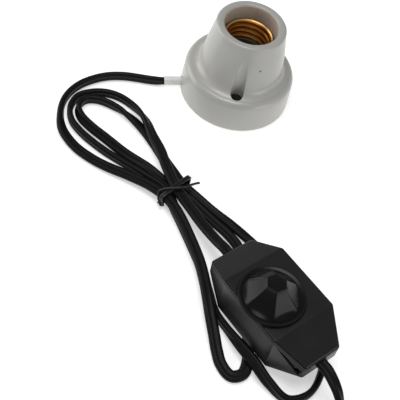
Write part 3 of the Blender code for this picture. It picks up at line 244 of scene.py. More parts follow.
class Finish:
    """A material, its patterns and what they feed."""

    def __init__(self, name, colour, roughness, metallic=0.0, **constants):
        self.material = bpy.data.materials.new(name)
        self.material.use_nodes = True
        self.tree = self.material.node_tree
        self.shader = self.tree.nodes["Principled BSDF"]
        self.feed("Base Color", (*colour, 1.0))
        self.feed("Roughness", roughness)
        self.feed("Metallic", metallic)
        for key, value in constants.items():
            self.feed(key.replace("_", " ").title().replace("Ior", "IOR"), value)

    def feed(self, name, value):
        connect(self.tree, self.shader.inputs[name], value)

    def node(self, kind, settings=None, inputs=None, output=0):
        """Any node: its settings first, then its sockets' values or links."""
        made = self.tree.nodes.new("ShaderNode" + kind)
        for key, value in (settings or {}).items():
            setattr(made, key, value)
        for key, value in (inputs or {}).items():
            connect(self.tree, made.inputs[key], value)
        return Signal(self.tree, made.outputs[output])

    def place(self):
        """Object coordinates, as a vector."""
        return self.node("TexCoord", output="Object")

    def axes(self):
        """Object coordinates, as three numbers."""
        split = self.node("SeparateXYZ", inputs={"Vector": self.place()})
        outputs = split.socket.node.outputs
        return [Signal(self.tree, outputs[i]) for i in range(3)]

    def noise(self, scale, detail=3.0, roughness=0.5, vector=None):
        """Soft noise with so many features to the metre."""
        return self.node("TexNoise", inputs={
            "Vector": vector or self.place(), "Scale": scale, "Detail": detail,
            "Roughness": roughness,
        })

    def blend(self, factor, first, second):
        """A colour between two colours."""
        made = self.tree.nodes.new("ShaderNodeMix")
        made.data_type = "RGBA"
        sides = [value if isinstance(value, Signal) else (*value, 1.0) for value in (first, second)]
        for socket, value in zip((made.inputs[0], made.inputs[6], made.inputs[7]), (factor, *sides)):
            connect(self.tree, socket, value)
        return Signal(self.tree, made.outputs[2])

    def relief(self, height, depth, strength=1.0):
        """Raise the surface by a height signal times a depth in metres."""
        bumped = self.node("Bump", inputs={"Height": height, "Distance": depth, "Strength": strength})
        self.feed("Normal", bumped)


def shade(tone, factor):
    """A colour made darker or lighter, up to white."""
    return [min(1.0, part * factor) for part in tone]


def deselect():
    """Leave edit mode and select nothing."""
    if bpy.context.object and bpy.context.object.mode != "OBJECT":
        bpy.ops.object.mode_set(mode="OBJECT")
    bpy.ops.object.select_all(action="DESELECT")


def take(piece):
    """Make one piece the selected and active one."""
    deselect()
    piece.select_set(True)
    bpy.context.view_layer.objects.active = piece


def drawn_line(name, points):
    """A line of edges, extruded from one corner to the next."""
    deselect()
    bpy.ops.mesh.primitive_plane_add(size=0.001)
    piece = bpy.context.object
    piece.name = name
    corners = [Vector(point) for point in points]
    bpy.ops.object.mode_set(mode="EDIT")
    bpy.ops.mesh.select_all(action="SELECT")
    bpy.ops.mesh.merge(type="CENTER")
    bpy.ops.transform.translate(value=corners[0])
    for here, after in zip(corners, corners[1:]):
        bpy.ops.mesh.extrude_region_move(TRANSFORM_OT_translate={"value": after - here})
    bpy.ops.object.mode_set(mode="OBJECT")
    return piece


def turned(name, profile, sides, closed=False):
    """A profile of (radius, height) pairs spun about Z into a closed form."""
    outline = [(radius, 0.0, height) for radius, height in profile]
    if closed:
        outline.append(outline[0])
    piece = drawn_line(name, outline)
    bpy.ops.object.mode_set(mode="EDIT")
    bpy.ops.mesh.select_all(action="SELECT")
    bpy.ops.mesh.spin(steps=sides, angle=2 * math.pi, center=(0, 0, 0), axis=(0, 0, 1))
    bpy.ops.mesh.select_all(action="SELECT")
    bpy.ops.mesh.remove_doubles(threshold=0.000002)
    bpy.ops.mesh.normals_make_consistent(inside=False)
    bpy.ops.object.mode_set(mode="OBJECT")
    return piece


def rod(name, radius, start, end, sides=32, end_radius=None):
    """A cylinder or cone between two points."""
    start = Vector(start)
    along = Vector(end) - start
    deselect()
    bpy.ops.mesh.primitive_cone_add(
        vertices=sides, radius1=radius, radius2=radius if end_radius is None else end_radius,
        depth=along.length, location=start + along / 2,
        rotation=along.to_track_quat("Z", "Y").to_euler(),
    )
    piece = bpy.context.object
    piece.name = name
    return piece


def block(name, size, centre, turn=(0.0, 0.0, 0.0)):
    """A box of a size about a centre."""
    deselect()
    bpy.ops.mesh.primitive_cube_add(size=1.0, location=centre, rotation=turn, scale=size)
    piece = bpy.context.object
    piece.name = name
    take(piece)
    bpy.ops.object.transform_apply(location=False, rotation=False, scale=True)
    return piece


def apply_modifier(piece, kind, **settings):
    """Add a modifier, set it and apply it."""
    take(piece)
    step = piece.modifiers.new(kind.lower(), kind)
    for key, value in settings.items():
        setattr(step, key, value)
    bpy.ops.object.modifier_apply(modifier=step.name)
    return piece


def combine(piece, tool, operation="DIFFERENCE"):
    """Cut a tool out of a piece or join it on, and remove the tool."""
    apply_modifier(piece, "BOOLEAN", operation=operation, solver="EXACT", object=tool)
    bpy.data.objects.remove(tool, do_unlink=True)
    return piece


def rounded(piece, width, segments=3, angle=30.0):
    """Round the edges that are sharper than an angle."""
    take(piece)
    bpy.ops.object.transform_apply(location=True, rotation=True, scale=True)
    return apply_modifier(
        piece, "BEVEL", width=width, segments=segments, limit_method="ANGLE",
        angle_limit=math.radians(angle), use_clamp_overlap=True,
    )


def reshape(piece, rule):
    """Move every corner of a mesh by a rule."""
    for corner in piece.data.vertices:
        corner.co = rule(corner.co.copy())
    piece.data.update()


def settle(piece, body, finish, nodes=(), angle=35.0, matrix=None):
    """Bring a finished piece to its place, smooth it and let it ride on its body."""
    take(piece)
    if matrix is not None:
        piece.matrix_world = matrix @ piece.matrix_world
    bpy.ops.object.transform_apply(location=True, rotation=True, scale=True)
    bpy.ops.object.shade_smooth_by_angle(angle=math.radians(angle))
    piece.data.materials.clear()
    piece.data.materials.append(finish)
    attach(piece, body)
    if nodes:
        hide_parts(*nodes)
    return piece


def dress(finish, *nodes):
    """Give solids that stay in view a better finish."""
    for name in nodes:
        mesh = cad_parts[name].data
        mesh.materials.clear()
        mesh.materials.append(finish)


def dimmer_matrix():
    """The dimmer's place and tilt on the floor."""
    turn = Matrix.Rotation(DIMMER_HEADING, 4, "Z") @ Matrix.Rotation(-DIMMER_PITCH, 4, "Y")
    return Matrix.Translation(DIMMER_PLACE) @ turn


def dimmer_axes(made, count=3):
    """Places along, across and above the dimmer's casing, as numbers."""
    here = made.axes()
    return [
        here[0] * row[0] + here[1] * row[1] + here[2] * row[2] + row[3]
        for row in list(dimmer_matrix().inverted())[:count]
    ]


def knob_reach(along, across):
    """Distance from the knob's axis."""
    return (along * along + (across + KNOB_OFFSET * MM) ** 2.0) ** 0.5


def arc(centre, radius, start, end, count):
    """Points of an arc as (radius, height) pairs, angles in degrees."""
    angles = [math.radians(start + (end - start) * i / count) for i in range(count + 1)]
    return [(centre[0] + radius * math.cos(a), centre[1] + radius * math.sin(a)) for a in angles]


def glaze_finish(look):
    """Glossy glaze outside, bare clay in the mouth and under the foot."""
    made = Finish("porcelain_glaze", look.glaze, 0.34, coat_weight=0.3, coat_roughness=0.12)
    x, y, z = made.axes()
    reach = (x * x + y * y) ** 0.5
    inside = (reach < 0.0162) * (z > 0.0195) * (z < 0.0531)
    under = (z < 0.0007).limited() + (reach < 0.0276) * (z < 0.0195)
    bare = (inside + under).limited()
    cloud = made.noise(55.0, 2.0)
    fine = made.noise(420.0, 3.0)
    white = made.blend(cloud, shade(look.glaze, 0.96), shade(look.glaze, 1.035))
    upright = made.node("Mapping", inputs={"Vector": made.place(), "Scale": (1.0, 1.0, 0.08)})
    streak = made.noise(900.0, 2.0, 0.6, upright)
    clay = made.blend(fine * 0.4 + streak * 0.6, shade(look.bisque, 0.74), shade(look.bisque, 1.16))
    body = made.blend(bare, white, clay)
    chip_place = (0.0113, -0.0193, 0.0393)
    chip_radius = 0.75 * MM
    spot = [value - place for value, place in zip((x, y, z), chip_place)]
    chip = (spot[0] * spot[0] + spot[1] * spot[1] + spot[2] * spot[2]) ** 0.5 < chip_radius
    body = made.blend(chip, body, (0.10, 0.085, 0.07))
    # Painted shade: the screw recesses are coloured dark below their top, where shade falls.
    recess_radius = 4.1 * MM
    recess_top = 18.8 * MM
    for side in (1, -1):
        away_x = x - HOLE_DISTANCE * math.cos(HOLE_ANGLE) * side
        away_y = y - HOLE_DISTANCE * math.sin(HOLE_ANGLE) * side
        recess_shade = ((away_x * away_x + away_y * away_y) ** 0.5 < recess_radius) * (z < recess_top)
        body = made.blend(recess_shade, body, (0.075, 0.07, 0.062))
    made.feed("Base Color", body)
    made.feed("Roughness", 0.32 + cloud * 0.08 + bare * 0.35)
    made.feed("Coat Weight", 0.3 - bare * 0.3)
    made.relief(cloud * 0.5 + fine * bare * 0.4, 0.00035)
    return made.material


def brass_finish(look):
    """Brass of the contact, the terminals and the blades, with faint rolling lines."""
    made = Finish("rolled_brass", look.brass, 0.24, 1.0)
    cloud = made.noise(260.0, 4.0, 0.6)
    scratch = made.node("Mapping", inputs={"Vector": made.place(), "Scale": (1.0, 1.0, 22.0)})
    lines = made.noise(180.0, 3.0, 0.6, scratch)
    dull = shade(look.brass, 0.62)
    made.feed("Base Color", made.blend(cloud * 0.6 + lines * 0.25, look.brass, dull))
    made.feed("Roughness", 0.17 + lines * 0.2)
    made.relief(lines, 0.00006)
    return made.material


def thread_finish(look):
    """The rolled shell: a painted highlight on the ridges and the lip, tarnished valleys and a darker,
    rougher lower part.
    """
    made = Finish("rolled_thread", look.brass, 0.26, 1.0)
    x, y, z = made.axes()
    reach = (x * x + y * y) ** 0.5
    crest = (1 - (reach - 0.01214) / 0.0005).limited() ** 1.3
    depth = ((z - 0.0313) / 0.0022).limited()
    cloud = made.noise(320.0, 4.0, 0.6)
    # Painted highlight: a pale gold colour laid on the thread's ridges.
    painted_highlight = made.blend(cloud, (1.0, 0.70, 0.30), look.brass)
    tarnish = made.blend(cloud, (0.42, 0.13, 0.012), (0.28, 0.085, 0.008))
    thread = made.blend(crest, tarnish, painted_highlight)
    # Painted highlight: the same pale gold colour laid on the lip.
    rim = (z > 0.0443).limited()
    thread = made.blend(rim, thread, painted_highlight)
    made.feed("Base Color", made.blend(depth, (0.16, 0.12, 0.085), thread))
    made.feed("Roughness", 0.3 + cloud * 0.14 + (1 - depth) * 0.2)
    made.relief(cloud, 0.00005)
    return made.material


def plated_finish(look):
    """Zinc-plated steel, slightly clouded."""
    made = Finish("zinc_plating", look.plating, 0.3, 1.0)
    cloud = made.noise(500.0, 4.0)
    made.feed("Base Color", made.blend(cloud, shade(look.plating, 0.75), look.plating))
    made.feed("Roughness", 0.24 + cloud * 0.22)
    return made.material


def sheath_finish(look):
    """Soft black sheath with faint drawing lines along the cord."""
    made = Finish("cord_sheath", look.sheath, 0.36, specular_ior_level=0.12)
    along = made.node("Mapping", inputs={
        "Vector": made.node("UVMap"), "Scale": (16.0, 900.0, 1.0)})
    lines = made.noise(1.0, 2.0, 0.6, along)
    cloud = made.noise(300.0, 3.0)
    made.feed("Base Color", made.blend(cloud, look.sheath, shade(look.sheath, 1.7)))
    made.feed("Roughness", 0.34 + cloud * 0.14 + lines * 0.06)
    made.relief(lines + cloud * 0.5, 0.00004)
    return made.material


def plastic_finish(name, tone, roughness, grain, depth):
    """Moulded plastic with a fine grain and faint handling marks."""
    made = Finish(name, tone, roughness)
    cloud = made.noise(90.0, 3.0)
    fine = made.noise(grain, 2.0)
    made.feed("Base Color", made.blend(cloud, shade(tone, 0.85), shade(tone, 1.2)))
    made.feed("Roughness", roughness - 0.04 + cloud * 0.1)
    made.relief(fine + cloud * 0.6, depth)
    return made.material


def casing_finish(look):
    """Moulded casing: a dark seam below the lid's edge and painted shade in the well round the knob."""
    made = Finish("casing_black", look.casing, 0.32, specular_ior_level=0.29)
    along, across, height = dimmer_axes(made)
    run = (along * along) ** 0.5
    slope = made.node("Math", {"operation": "MAXIMUM"}, {0: run - LID_HALF_LENGTH * MM, 1: 0.0})
    lid = CASE_HEIGHT * MM - slope * LID_FALL
    seam = (height < lid - 0.0017) * (height > lid - 0.0025)
    edge = (height < lid - 0.00015) * (height > lid - 0.00085)
    # Painted shade: a dark ring in the well round the knob, under the skirt's edge.
    painted_knob_shade = (knob_reach(along, across) < 0.0169) * (height > lid - 0.0004)
    cloud = made.noise(90.0, 3.0)
    fine = made.noise(2600.0, 2.0)
    plain = made.blend(cloud, shade(look.casing, 0.85), shade(look.casing, 1.2))
    dark = (seam + painted_knob_shade + edge).limited()
    made.feed("Base Color", made.blend(dark, plain, (0.0015, 0.0015, 0.0015)))
    made.feed("Roughness", 0.28 + cloud * 0.1 + dark * 0.5)
    made.relief(fine * 0.1 + cloud * 0.06 - dark, 0.0003)
    return made.material


def knob_finish(look):
    """Glossy black plastic, duller towards the skirt's outer edge."""
    made = Finish("knob_black", look.knob, 0.2, specular_ior_level=0.17)
    along, across = dimmer_axes(made, 2)
    outer = ((knob_reach(along, across) - 0.0152) / 0.0006).limited()
    cloud = made.noise(140.0, 3.0)
    made.feed("Base Color", made.blend(cloud, shade(look.knob, 0.8), shade(look.knob, 1.3)))
    made.feed("Roughness", 0.24 + cloud * 0.07 + outer * 0.5)
    made.relief(made.noise(1500.0, 2.0), 0.00001)
    return made.material


def sleeve_finish(look):
    """White heat sleeve, slightly clouded."""
    made = Finish("heat_sleeve_white", look.sleeve, 0.28)
    cloud = made.noise(350.0, 3.0)
    made.feed("Base Color", made.blend(cloud, shade(look.sleeve, 0.9), look.sleeve))
    made.feed("Roughness", 0.22 + cloud * 0.14)
    made.relief(cloud, 0.00006)
    return made.material


def board_finish():
    """Brown resin board with a fine fibre."""
    made = Finish("resin_board", (0.33, 0.18, 0.07), 0.5)
    fibre = made.noise(900.0, 3.0)
    made.feed("Base Color", made.blend(fibre, (0.27, 0.14, 0.05), (0.40, 0.23, 0.09)))
    made.relief(fibre, 0.00005)
    return made.material


def copper_finish():
    """Enamelled copper wire, in close turns."""
    made = Finish("enamelled_wire", (0.60, 0.20, 0.05), 0.28, 1.0)
    height = made.axes()[2]
    made.relief((height * 12000.0).sine(), 0.0001)
    return made.material


FINISHES = {}


def finish_for(key):
    """Each finish is made once, from the colours in the sidebar."""
    look = bpy.context.scene.finishes
    makers = {
        "glaze": lambda: glaze_finish(look),
        "brass": lambda: brass_finish(look),
        "thread": lambda: thread_finish(look),
        "plating": lambda: plated_finish(look),
        "sheath": lambda: sheath_finish(look),
        "casing": lambda: casing_finish(look),
        "tie": lambda: plastic_finish("tie_black", look.knob, 0.34, 2600.0, 0.00002),
        "plug": lambda: plastic_finish("plug_black", look.sheath, 0.4, 2200.0, 0.00004),
        "knob": lambda: knob_finish(look),
        "sleeve": lambda: sleeve_finish(look),
        "board": board_finish,
        "grey": lambda: plastic_finish("potentiometer_casing", (0.35, 0.35, 0.36), 0.4, 900.0, 0.00003),
        "triac": lambda: plastic_finish("epoxy_black", (0.02, 0.02, 0.02), 0.5, 1800.0, 0.00004),
        "film": lambda: plastic_finish("film_yellow", (0.70, 0.50, 0.09), 0.35, 700.0, 0.00003),
        "timing": lambda: plastic_finish("resin_brown", (0.25, 0.08, 0.03), 0.35, 700.0, 0.00003),
        "ferrite": lambda: plastic_finish("ferrite_grey", (0.08, 0.08, 0.085), 0.6, 1500.0, 0.00005),
        "resistor": lambda: plastic_finish("resistor_tan", (0.62, 0.47, 0.28), 0.45, 900.0, 0.00003),
        "fuse": lambda: plastic_finish("fuse_ceramic", (0.75, 0.74, 0.70), 0.35, 900.0, 0.00002),
        "green": lambda: plastic_finish("terminal_green", (0.03, 0.26, 0.12), 0.4, 900.0, 0.00003),
        "live": lambda: plastic_finish("core_brown", (0.16, 0.06, 0.025), 0.4, 900.0, 0.00003),
        "neutral": lambda: plastic_finish("core_blue", (0.03, 0.10, 0.38), 0.4, 900.0, 0.00003),
        "copper": copper_finish,
    }
    if key not in FINISHES:
        FINISHES[key] = makers[key]()
    return FINISHES[key]


def smooth_route(points, pieces=8):
    """A smooth curve through the points; each point carries its lean as a fourth number."""
    knots = [Vector(point) for point in points]
    knots = [2 * knots[0] - knots[1]] + knots + [2 * knots[-1] - knots[-2]]
    fine = []
    for a, b, c, d in zip(knots, knots[1:], knots[2:], knots[3:]):
        first = (b - a).xyz.length ** 0.5
        middle = (c - b).xyz.length ** 0.5
        last = (d - c).xyz.length ** 0.5
        leave = ((b - a) / first - (c - a) / (first + middle) + (c - b) / middle) * middle
        arrive = ((c - b) / middle - (d - b) / (middle + last) + (d - c) / last) * middle
        for i in range(pieces):
            t = i / pieces
            fine.append(
                b * (2 * t ** 3 - 3 * t ** 2 + 1) + leave * (t ** 3 - 2 * t ** 2 + t)
                + c * (3 * t ** 2 - 2 * t ** 3) + arrive * (t ** 3 - t ** 2)
            )
    fine.append(knots[-2])
    return fine


def twin_outline(width, thickness):
    """The flat cord's section: two round lobes with a groove on each side, as (across, up)."""
    lobe = thickness / 2
    offset = width / 2 - lobe
    half = [(offset + lobe * math.cos(a), lobe * math.sin(a))
            for a in [math.radians(-118 + 236 * i / 12) for i in range(13)]]
    groove = lobe * 0.82
    return [(0.0, -groove)] + half + [(0.0, groove)] + [(-x, -y) for x, y in half]


def flat_cord(name, route, sizes, squeezed=0.0):
    """A mesh swept along a route, its two lobes leaning as the route says, and its start squeezed."""
    ease = 8.0 * MM
    fine = smooth_route(route)
    line = [point.xyz * MM for point in fine]
    leans = [min(1.0, max(0.0, point.w)) for point in fine]
    for centre, lean in zip(line, leans):
        half = sizes.thickness / 2
        half += (sizes.width / 2 - half) * math.sin(lean * math.pi / 2)
        centre.z = max(centre.z, half + 0.02 * MM)
    outline = twin_outline(sizes.width, sizes.thickness)
    count = len(outline)
    shape = bmesh.new()
    rings = []
    runs = [0.0]
    for here, after in zip(line, line[1:]):
        runs.append(runs[-1] + (after - here).length)
    for i, centre in enumerate(line):
        along = (line[min(i + 1, len(line) - 1)] - line[max(i - 1, 0)]).normalized()
        side = along.cross(Vector((0, 0, 1))).normalized()
        up = side.cross(along)
        lean = leans[i] * math.pi / 2
        broad = side * math.cos(lean) + up * math.sin(lean)
        thin = along.cross(broad)
        tight = min(1.0, max(0.0, (squeezed - runs[i]) / ease))
        ring = []
        for across, depth in outline:
            reach = across * (1 - 0.24 * tight)
            ring.append(shape.verts.new(centre + broad * reach + thin * depth * (1 - 0.06 * tight)))
        rings.append(ring)
    sheet = shape.loops.layers.uv.new("length")
    for i in range(len(rings) - 1):
        for j in range(count):
            k = (j + 1) % count
            face = shape.faces.new((rings[i][j], rings[i][k], rings[i + 1][k], rings[i + 1][j]))
            for loop, (row, share) in zip(face.loops, ((i, j), (i, j + 1), (i + 1, j + 1), (i + 1, j))):
                loop[sheet].uv = (runs[row], share / count * 0.016)
    shape.faces.new(rings[0][::-1])
    shape.faces.new(rings[-1])
    bmesh.ops.recalc_face_normals(shape, faces=shape.faces)
    mesh = bpy.data.meshes.new(name)
    shape.to_mesh(mesh)
    shape.free()
    piece = bpy.data.objects.new(name, mesh)
    bpy.context.scene.collection.objects.link(piece)
    return piece, line, runs[-1]


def at_dimmer(*spots):
    """Points on the dimmer's middle line, with the cord lying flat."""
    matrix = dimmer_matrix()
    return [(*(matrix @ (Vector((x, 0.0, GLAND_LEVEL)) * MM) / MM), 0) for x in spots]


def coil_route():
    """The lead's coil, from its outer turn inwards, climbing over itself at the end."""
    turns = 2.25
    climb_from = 1.9
    steps = 40
    route = []
    for i in range(steps + 1):
        share = i / steps
        turn = share * turns
        angle = math.radians(20.0) - turn * 2 * math.pi
        radius = 32.9 - 3.4 * turn
        climb = max(0.0, (turn - climb_from) / (turns - climb_from))
        route.append((COIL_PLACE.x + radius * math.cos(angle), COIL_PLACE.y + radius * math.sin(angle),
                      2.85 + 5.75 * climb, 1))
    return route


class LAMPHOLDER_OT_camera(bpy.types.Operator):
    """Place the camera in front of and above the part"""

    bl_idname = "lampholder.camera"
    bl_label = "Camera"

    def execute(self, context):
        sight = Vector((0.0, math.cos(CAMERA_PITCH), -math.sin(CAMERA_PITCH)))
        level = Vector((1.0, 0.0, 0.0))
        rise = level.cross(sight)
        right = math.cos(CAMERA_ROLL) * level + math.sin(CAMERA_ROLL) * rise
        up = -math.sin(CAMERA_ROLL) * level + math.cos(CAMERA_ROLL) * rise
        deselect()
        bpy.ops.object.camera_add()
        camera = context.object
        camera.matrix_world = Matrix.Translation(Vector(CAMERA_PLACE) * MM) @ Matrix(
            (right, up, -sight)
        ).transposed().to_4x4()
        camera.data.sensor_width = 36.0
        camera.data.lens = 67.5
        camera.data.clip_start = 0.01
        camera.data.clip_end = 20.0
        context.scene.camera = camera
        return {"FINISHED"}


class LAMPHOLDER_OT_cords(bpy.types.Operator):
    """Lay the holder cord in its tied loops, and the mains lead in its coil"""

    bl_idname = "lampholder.cords"
    bl_label = "Cords"

    def execute(self, context):
        sizes = context.scene.cord_sizes
        reach = GLAND_REACH
        far = at_dimmer(-reach - 4.6, -reach - 1.4, -reach + 4.0, -CORD_END)
        cord, line, run = flat_cord("holder_flat_cord", CORD_ROUTE + far, sizes, 0.026)
        cord.data.materials.append(finish_for("sheath"))
        cord.data.shade_smooth()
        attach(cord, "holder")
        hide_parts("holder_cord")

        near = at_dimmer(CORD_END, reach - 4.0, reach + 1.4, reach + 4.6)
        route = near + LEAD_ROUTE + coil_route() + TAIL_ROUTE
        lead, line, run = flat_cord("mains_flat_lead", route, sizes)
        lead.data.materials.append(finish_for("sheath"))
        lead.data.shade_smooth()
        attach(lead, "holder")
        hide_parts("mains_lead", "mains_coil", "plug_tail")
        return {"FINISHED"}


class LAMPHOLDER_OT_porcelain(bpy.types.Operator):
    """Turn the porcelain body and cut its holes"""

    bl_idname = "lampholder.porcelain"
    bl_label = "Porcelain body"

    def execute(self, context):
        sizes = context.scene.holder_sizes
        top = sizes.height
        crest = 4.2 * MM
        fillet = 5.4 * MM
        rim_in = (sizes.mouth_radius + 1.4 * MM, top - 1.4 * MM)
        rim_out = (sizes.rim_radius - 1.7 * MM, top - 1.7 * MM)
        chamber = 14.0 * MM
        profile = [(0.0, sizes.floor_level), (sizes.mouth_radius - 0.5 * MM, sizes.floor_level),
                   (sizes.mouth_radius - 0.1 * MM, sizes.floor_level + 0.5 * MM),
                   (sizes.mouth_radius, sizes.floor_level + 10 * MM),
                   (sizes.mouth_radius, top - 6 * MM)]
        profile += arc(rim_in, 1.4 * MM, 180, 100, 5)
        profile += arc(rim_out, 1.7 * MM, 84, 4, 6)
        neck_top = (sizes.rim_radius + 0.12 * MM, top - 3.4 * MM)
        neck_foot = (sizes.neck_radius, sizes.flange_height + fillet)
        for i in range(6):
            share = i / 6
            swell = 0.35 * MM * math.sin(math.pi * share)
            profile.append((neck_top[0] + (neck_foot[0] - neck_top[0]) * share + swell,
                            neck_top[1] + (neck_foot[1] - neck_top[1]) * share))
        profile += arc((sizes.neck_radius + fillet, neck_foot[1]), fillet, 176, 268, 8)
        edge = (sizes.flange_radius - crest, sizes.flange_height - crest)
        profile += arc((edge[0], edge[1]), crest, 88, 6, 8)
        profile += [(sizes.flange_radius + 0.25 * MM, 12 * MM), (sizes.base_radius, 2.2 * MM)]
        profile += arc((sizes.base_radius - 1.2 * MM, 1.2 * MM), 1.2 * MM, 0, -90, 4)
        profile += arc((28.2 * MM, 0.7 * MM), 0.7 * MM, 270, 180, 3)
        profile += [(27.0 * MM, 8 * MM)]
        profile += arc((24.6 * MM, chamber - 2.0 * MM), 2.0 * MM, 0, 90, 4)
        profile += [(0.0, chamber)]
        body = turned("porcelain_holder", profile, 144)
        up = Vector((0, 0, 1))
        for side in (0.0, math.pi):
            angle = HOLE_ANGLE + side
            spot = Vector((math.cos(angle), math.sin(angle), 0.0)) * HOLE_DISTANCE
            combine(body, rod("boss", 6.4 * MM, spot + up * 1.0 * MM, spot + up * (chamber + MM), 48,
                              6.8 * MM), "UNION")
            recess = turned("recess", [(0.0, 60 * MM), (3.8 * MM, 60 * MM), (3.8 * MM, 9.0 * MM),
                                       (2.4 * MM, 7.6 * MM), (2.4 * MM, -MM), (0.0, -MM)], 40)
            recess.location = spot
            combine(body, recess)
        outside = SLEEVE_PLACE + SLEEVE_WAY * 12 * MM
        inside = SLEEVE_PLACE - SLEEVE_WAY * 10 * MM
        combine(body, rod("entry", 3.1 * MM, outside, inside, 40))
        notch = block("notch", (22 * MM, 6.2 * MM, 4.4 * MM), SLEEVE_PLACE - up * 2.2 * MM,
                      (0, 0, math.atan2(SLEEVE_WAY.y, SLEEVE_WAY.x)))
        combine(body, notch)
        for spot, radius in ((SHELL_SCREW_PLACE, 1.75), (-SHELL_SCREW_PLACE, 1.75), (RIVET_PLACE, 1.5)):
            combine(body, rod("hole", radius * MM, spot + up * 12 * MM, spot + up * 22 * MM, 24))
        rounded(body, 0.45 * MM, 3, 32.0)
        settle(body, "holder", finish_for("glaze"), ["porcelain_body"], 40.0)
        return {"FINISHED"}


class LAMPHOLDER_OT_shell(bpy.types.Operator):
    """Roll the threaded shell and dress the contact in its floor"""

    bl_idname = "lampholder.shell"
    bl_label = "Threaded shell"

    def execute(self, context):
        sizes = context.scene.holder_sizes
        wall = 0.45 * MM
        low = sizes.floor_level + 2.4 * MM
        high = sizes.shell_top - 0.9 * MM
        middle = sizes.shell_radius + sizes.thread_depth / 2
        steps = 66
        outer = [(middle, high + (low - high) * i / steps) for i in range(steps + 1)]
        edge = sizes.shell_radius + sizes.thread_depth
        lip = [(edge + 0.1 * MM, sizes.shell_top - 0.3 * MM), (edge + 0.35 * MM, sizes.shell_top)]
        hem = [(edge + 0.7 * MM, sizes.shell_top - 0.15 * MM)]
        foot = [(middle - 0.3 * MM, low - 0.9 * MM), (middle - 1.2 * MM, sizes.floor_level + 0.55 * MM),
                (7.0 * MM, sizes.floor_level + 0.55 * MM)]
        shell = turned("threaded_shell", hem + lip + outer + foot, 128)

        def thread(co):
            reach = math.hypot(co.x, co.y)
            if abs(reach - middle) > 0.0001 or not low - MM < co.z < high + MM:
                return co
            angle = math.atan2(co.y, co.x)
            phase = 2 * math.pi * (co.z - 40.0 * MM) / sizes.thread_pitch - angle
            ridge = ((1 + math.cos(phase)) / 2) ** 1.6
            swell = sizes.thread_depth * (0.5 - ridge)
            fade = min(1.0, (co.z - low) / MM, (high - co.z) / (0.8 * MM))
            k = (middle + swell * max(0.0, fade)) / reach
            return Vector((co.x * k, co.y * k, co.z))

        reshape(shell, thread)
        apply_modifier(shell, "SOLIDIFY", thickness=wall, offset=0.0)
        up = Vector((0, 0, 1))
        for side in (1, -1):
            spot = SHELL_SCREW_PLACE * side
            combine(shell, rod("hole", 1.7 * MM, spot + up * 19 * MM, spot + up * 21.6 * MM, 24))
        settle(shell, "holder", finish_for("thread"), ["screw_shell"], 50.0)
        dress(finish_for("brass"), "centre_contact", "live_terminal", "neutral_terminal",
              "near_blade", "far_blade")
        dress(finish_for("plating"), "contact_rivet", "near_shell_screw", "far_shell_screw",
              "shell_nut", "live_terminal_screw", "neutral_terminal_screw", "near_casing_screw",
              "far_casing_screw", "near_left_clamp_screw", "near_right_clamp_screw",
              "far_left_clamp_screw", "far_right_clamp_screw")
        dress(finish_for("live"), "live_core")
        dress(finish_for("neutral"), "neutral_core")
        return {"FINISHED"}


class LAMPHOLDER_OT_sleeve(bpy.types.Operator):
    """Slip the white sleeve over the cord and wind the tie round the loops"""

    bl_idname = "lampholder.sleeve"
    bl_label = "Sleeve and tie"

    def execute(self, context):
        sizes = context.scene.cord_sizes
        outer = sizes.sleeve_radius
        inner = 2.3 * MM
        run = 15.2 * MM
        profile = [(inner, 0.15 * MM), (inner + 0.15 * MM, 0.0), (outer - 0.2 * MM, 0.0),
                   (outer, 0.25 * MM)]
        profile += [(outer - 0.05 * MM * math.sin(i * 1.9), run * i / 8) for i in range(1, 8)]
        profile += [(outer, run - 0.25 * MM), (outer - 0.2 * MM, run), (inner + 0.15 * MM, run),
                    (inner, run - 0.15 * MM)]
        sleeve = turned("white_sleeve", profile, 40, closed=True)
        start = SLEEVE_PLACE - SLEEVE_WAY * 5.0 * MM
        matrix = Matrix.Translation(start) @ SLEEVE_WAY.to_track_quat("Z", "Y").to_matrix().to_4x4()
        settle(sleeve, "holder", finish_for("sleeve"), ["heat_sleeve"], 40.0, matrix)

        up = Vector((0, 0, 1))
        along = TIE_ACROSS.cross(up)
        points = []
        turns = 2.08
        count = 88
        for i in range(count + 1):
            share = i / count
            angle = math.radians(205.0) + share * turns * 2 * math.pi
            c = math.cos(angle)
            s = math.sin(angle)
            wide = math.copysign(abs(c) ** 0.36, c) * (10.8 + 0.2 * share) * MM
            high = math.copysign(abs(s) ** 0.36, s) * 4.55 * MM
            drift = along * (share - 0.5) * 2.6 * MM + along * 0.1 * wide
            points.append(TIE_PLACE + TIE_ACROSS * wide + up * high + drift)
        twist = [(-21.4, -101.6, 3.6), (-23.6, -99.4, 6.4), (-24.2, -96.9, 9.4), (-21.9, -95.5, 10.9),
                 (-18.9, -94.2, 11.1), (-14.9, -92.9, 11.2), (-11.4, -90.8, 11.2), (-8.7, -87.9, 10.4),
                 (-6.2, -85.6, 9.9), (-4.6, -84.4, 9.6)]
        twist = [Vector(point) * MM for point in twist]
        data = bpy.data.curves.new("wire_tie", "CURVE")
        data.dimensions = "3D"
        data.bevel_depth = sizes.tie_radius
        data.bevel_resolution = 4
        data.use_fill_caps = True
        for path in (points, twist):
            spline = data.splines.new("POLY")
            spline.points.add(len(path) - 1)
            for point, spot in zip(spline.points, path):
                point.co = (*spot, 1.0)
        tie = bpy.data.objects.new("wire_tie", data)
        context.scene.collection.objects.link(tie)
        take(tie)
        bpy.ops.object.convert(target="MESH")
        tie = context.object
        settle(tie, "holder", finish_for("tie"), ["twist_tie"], 60.0)
        return {"FINISHED"}


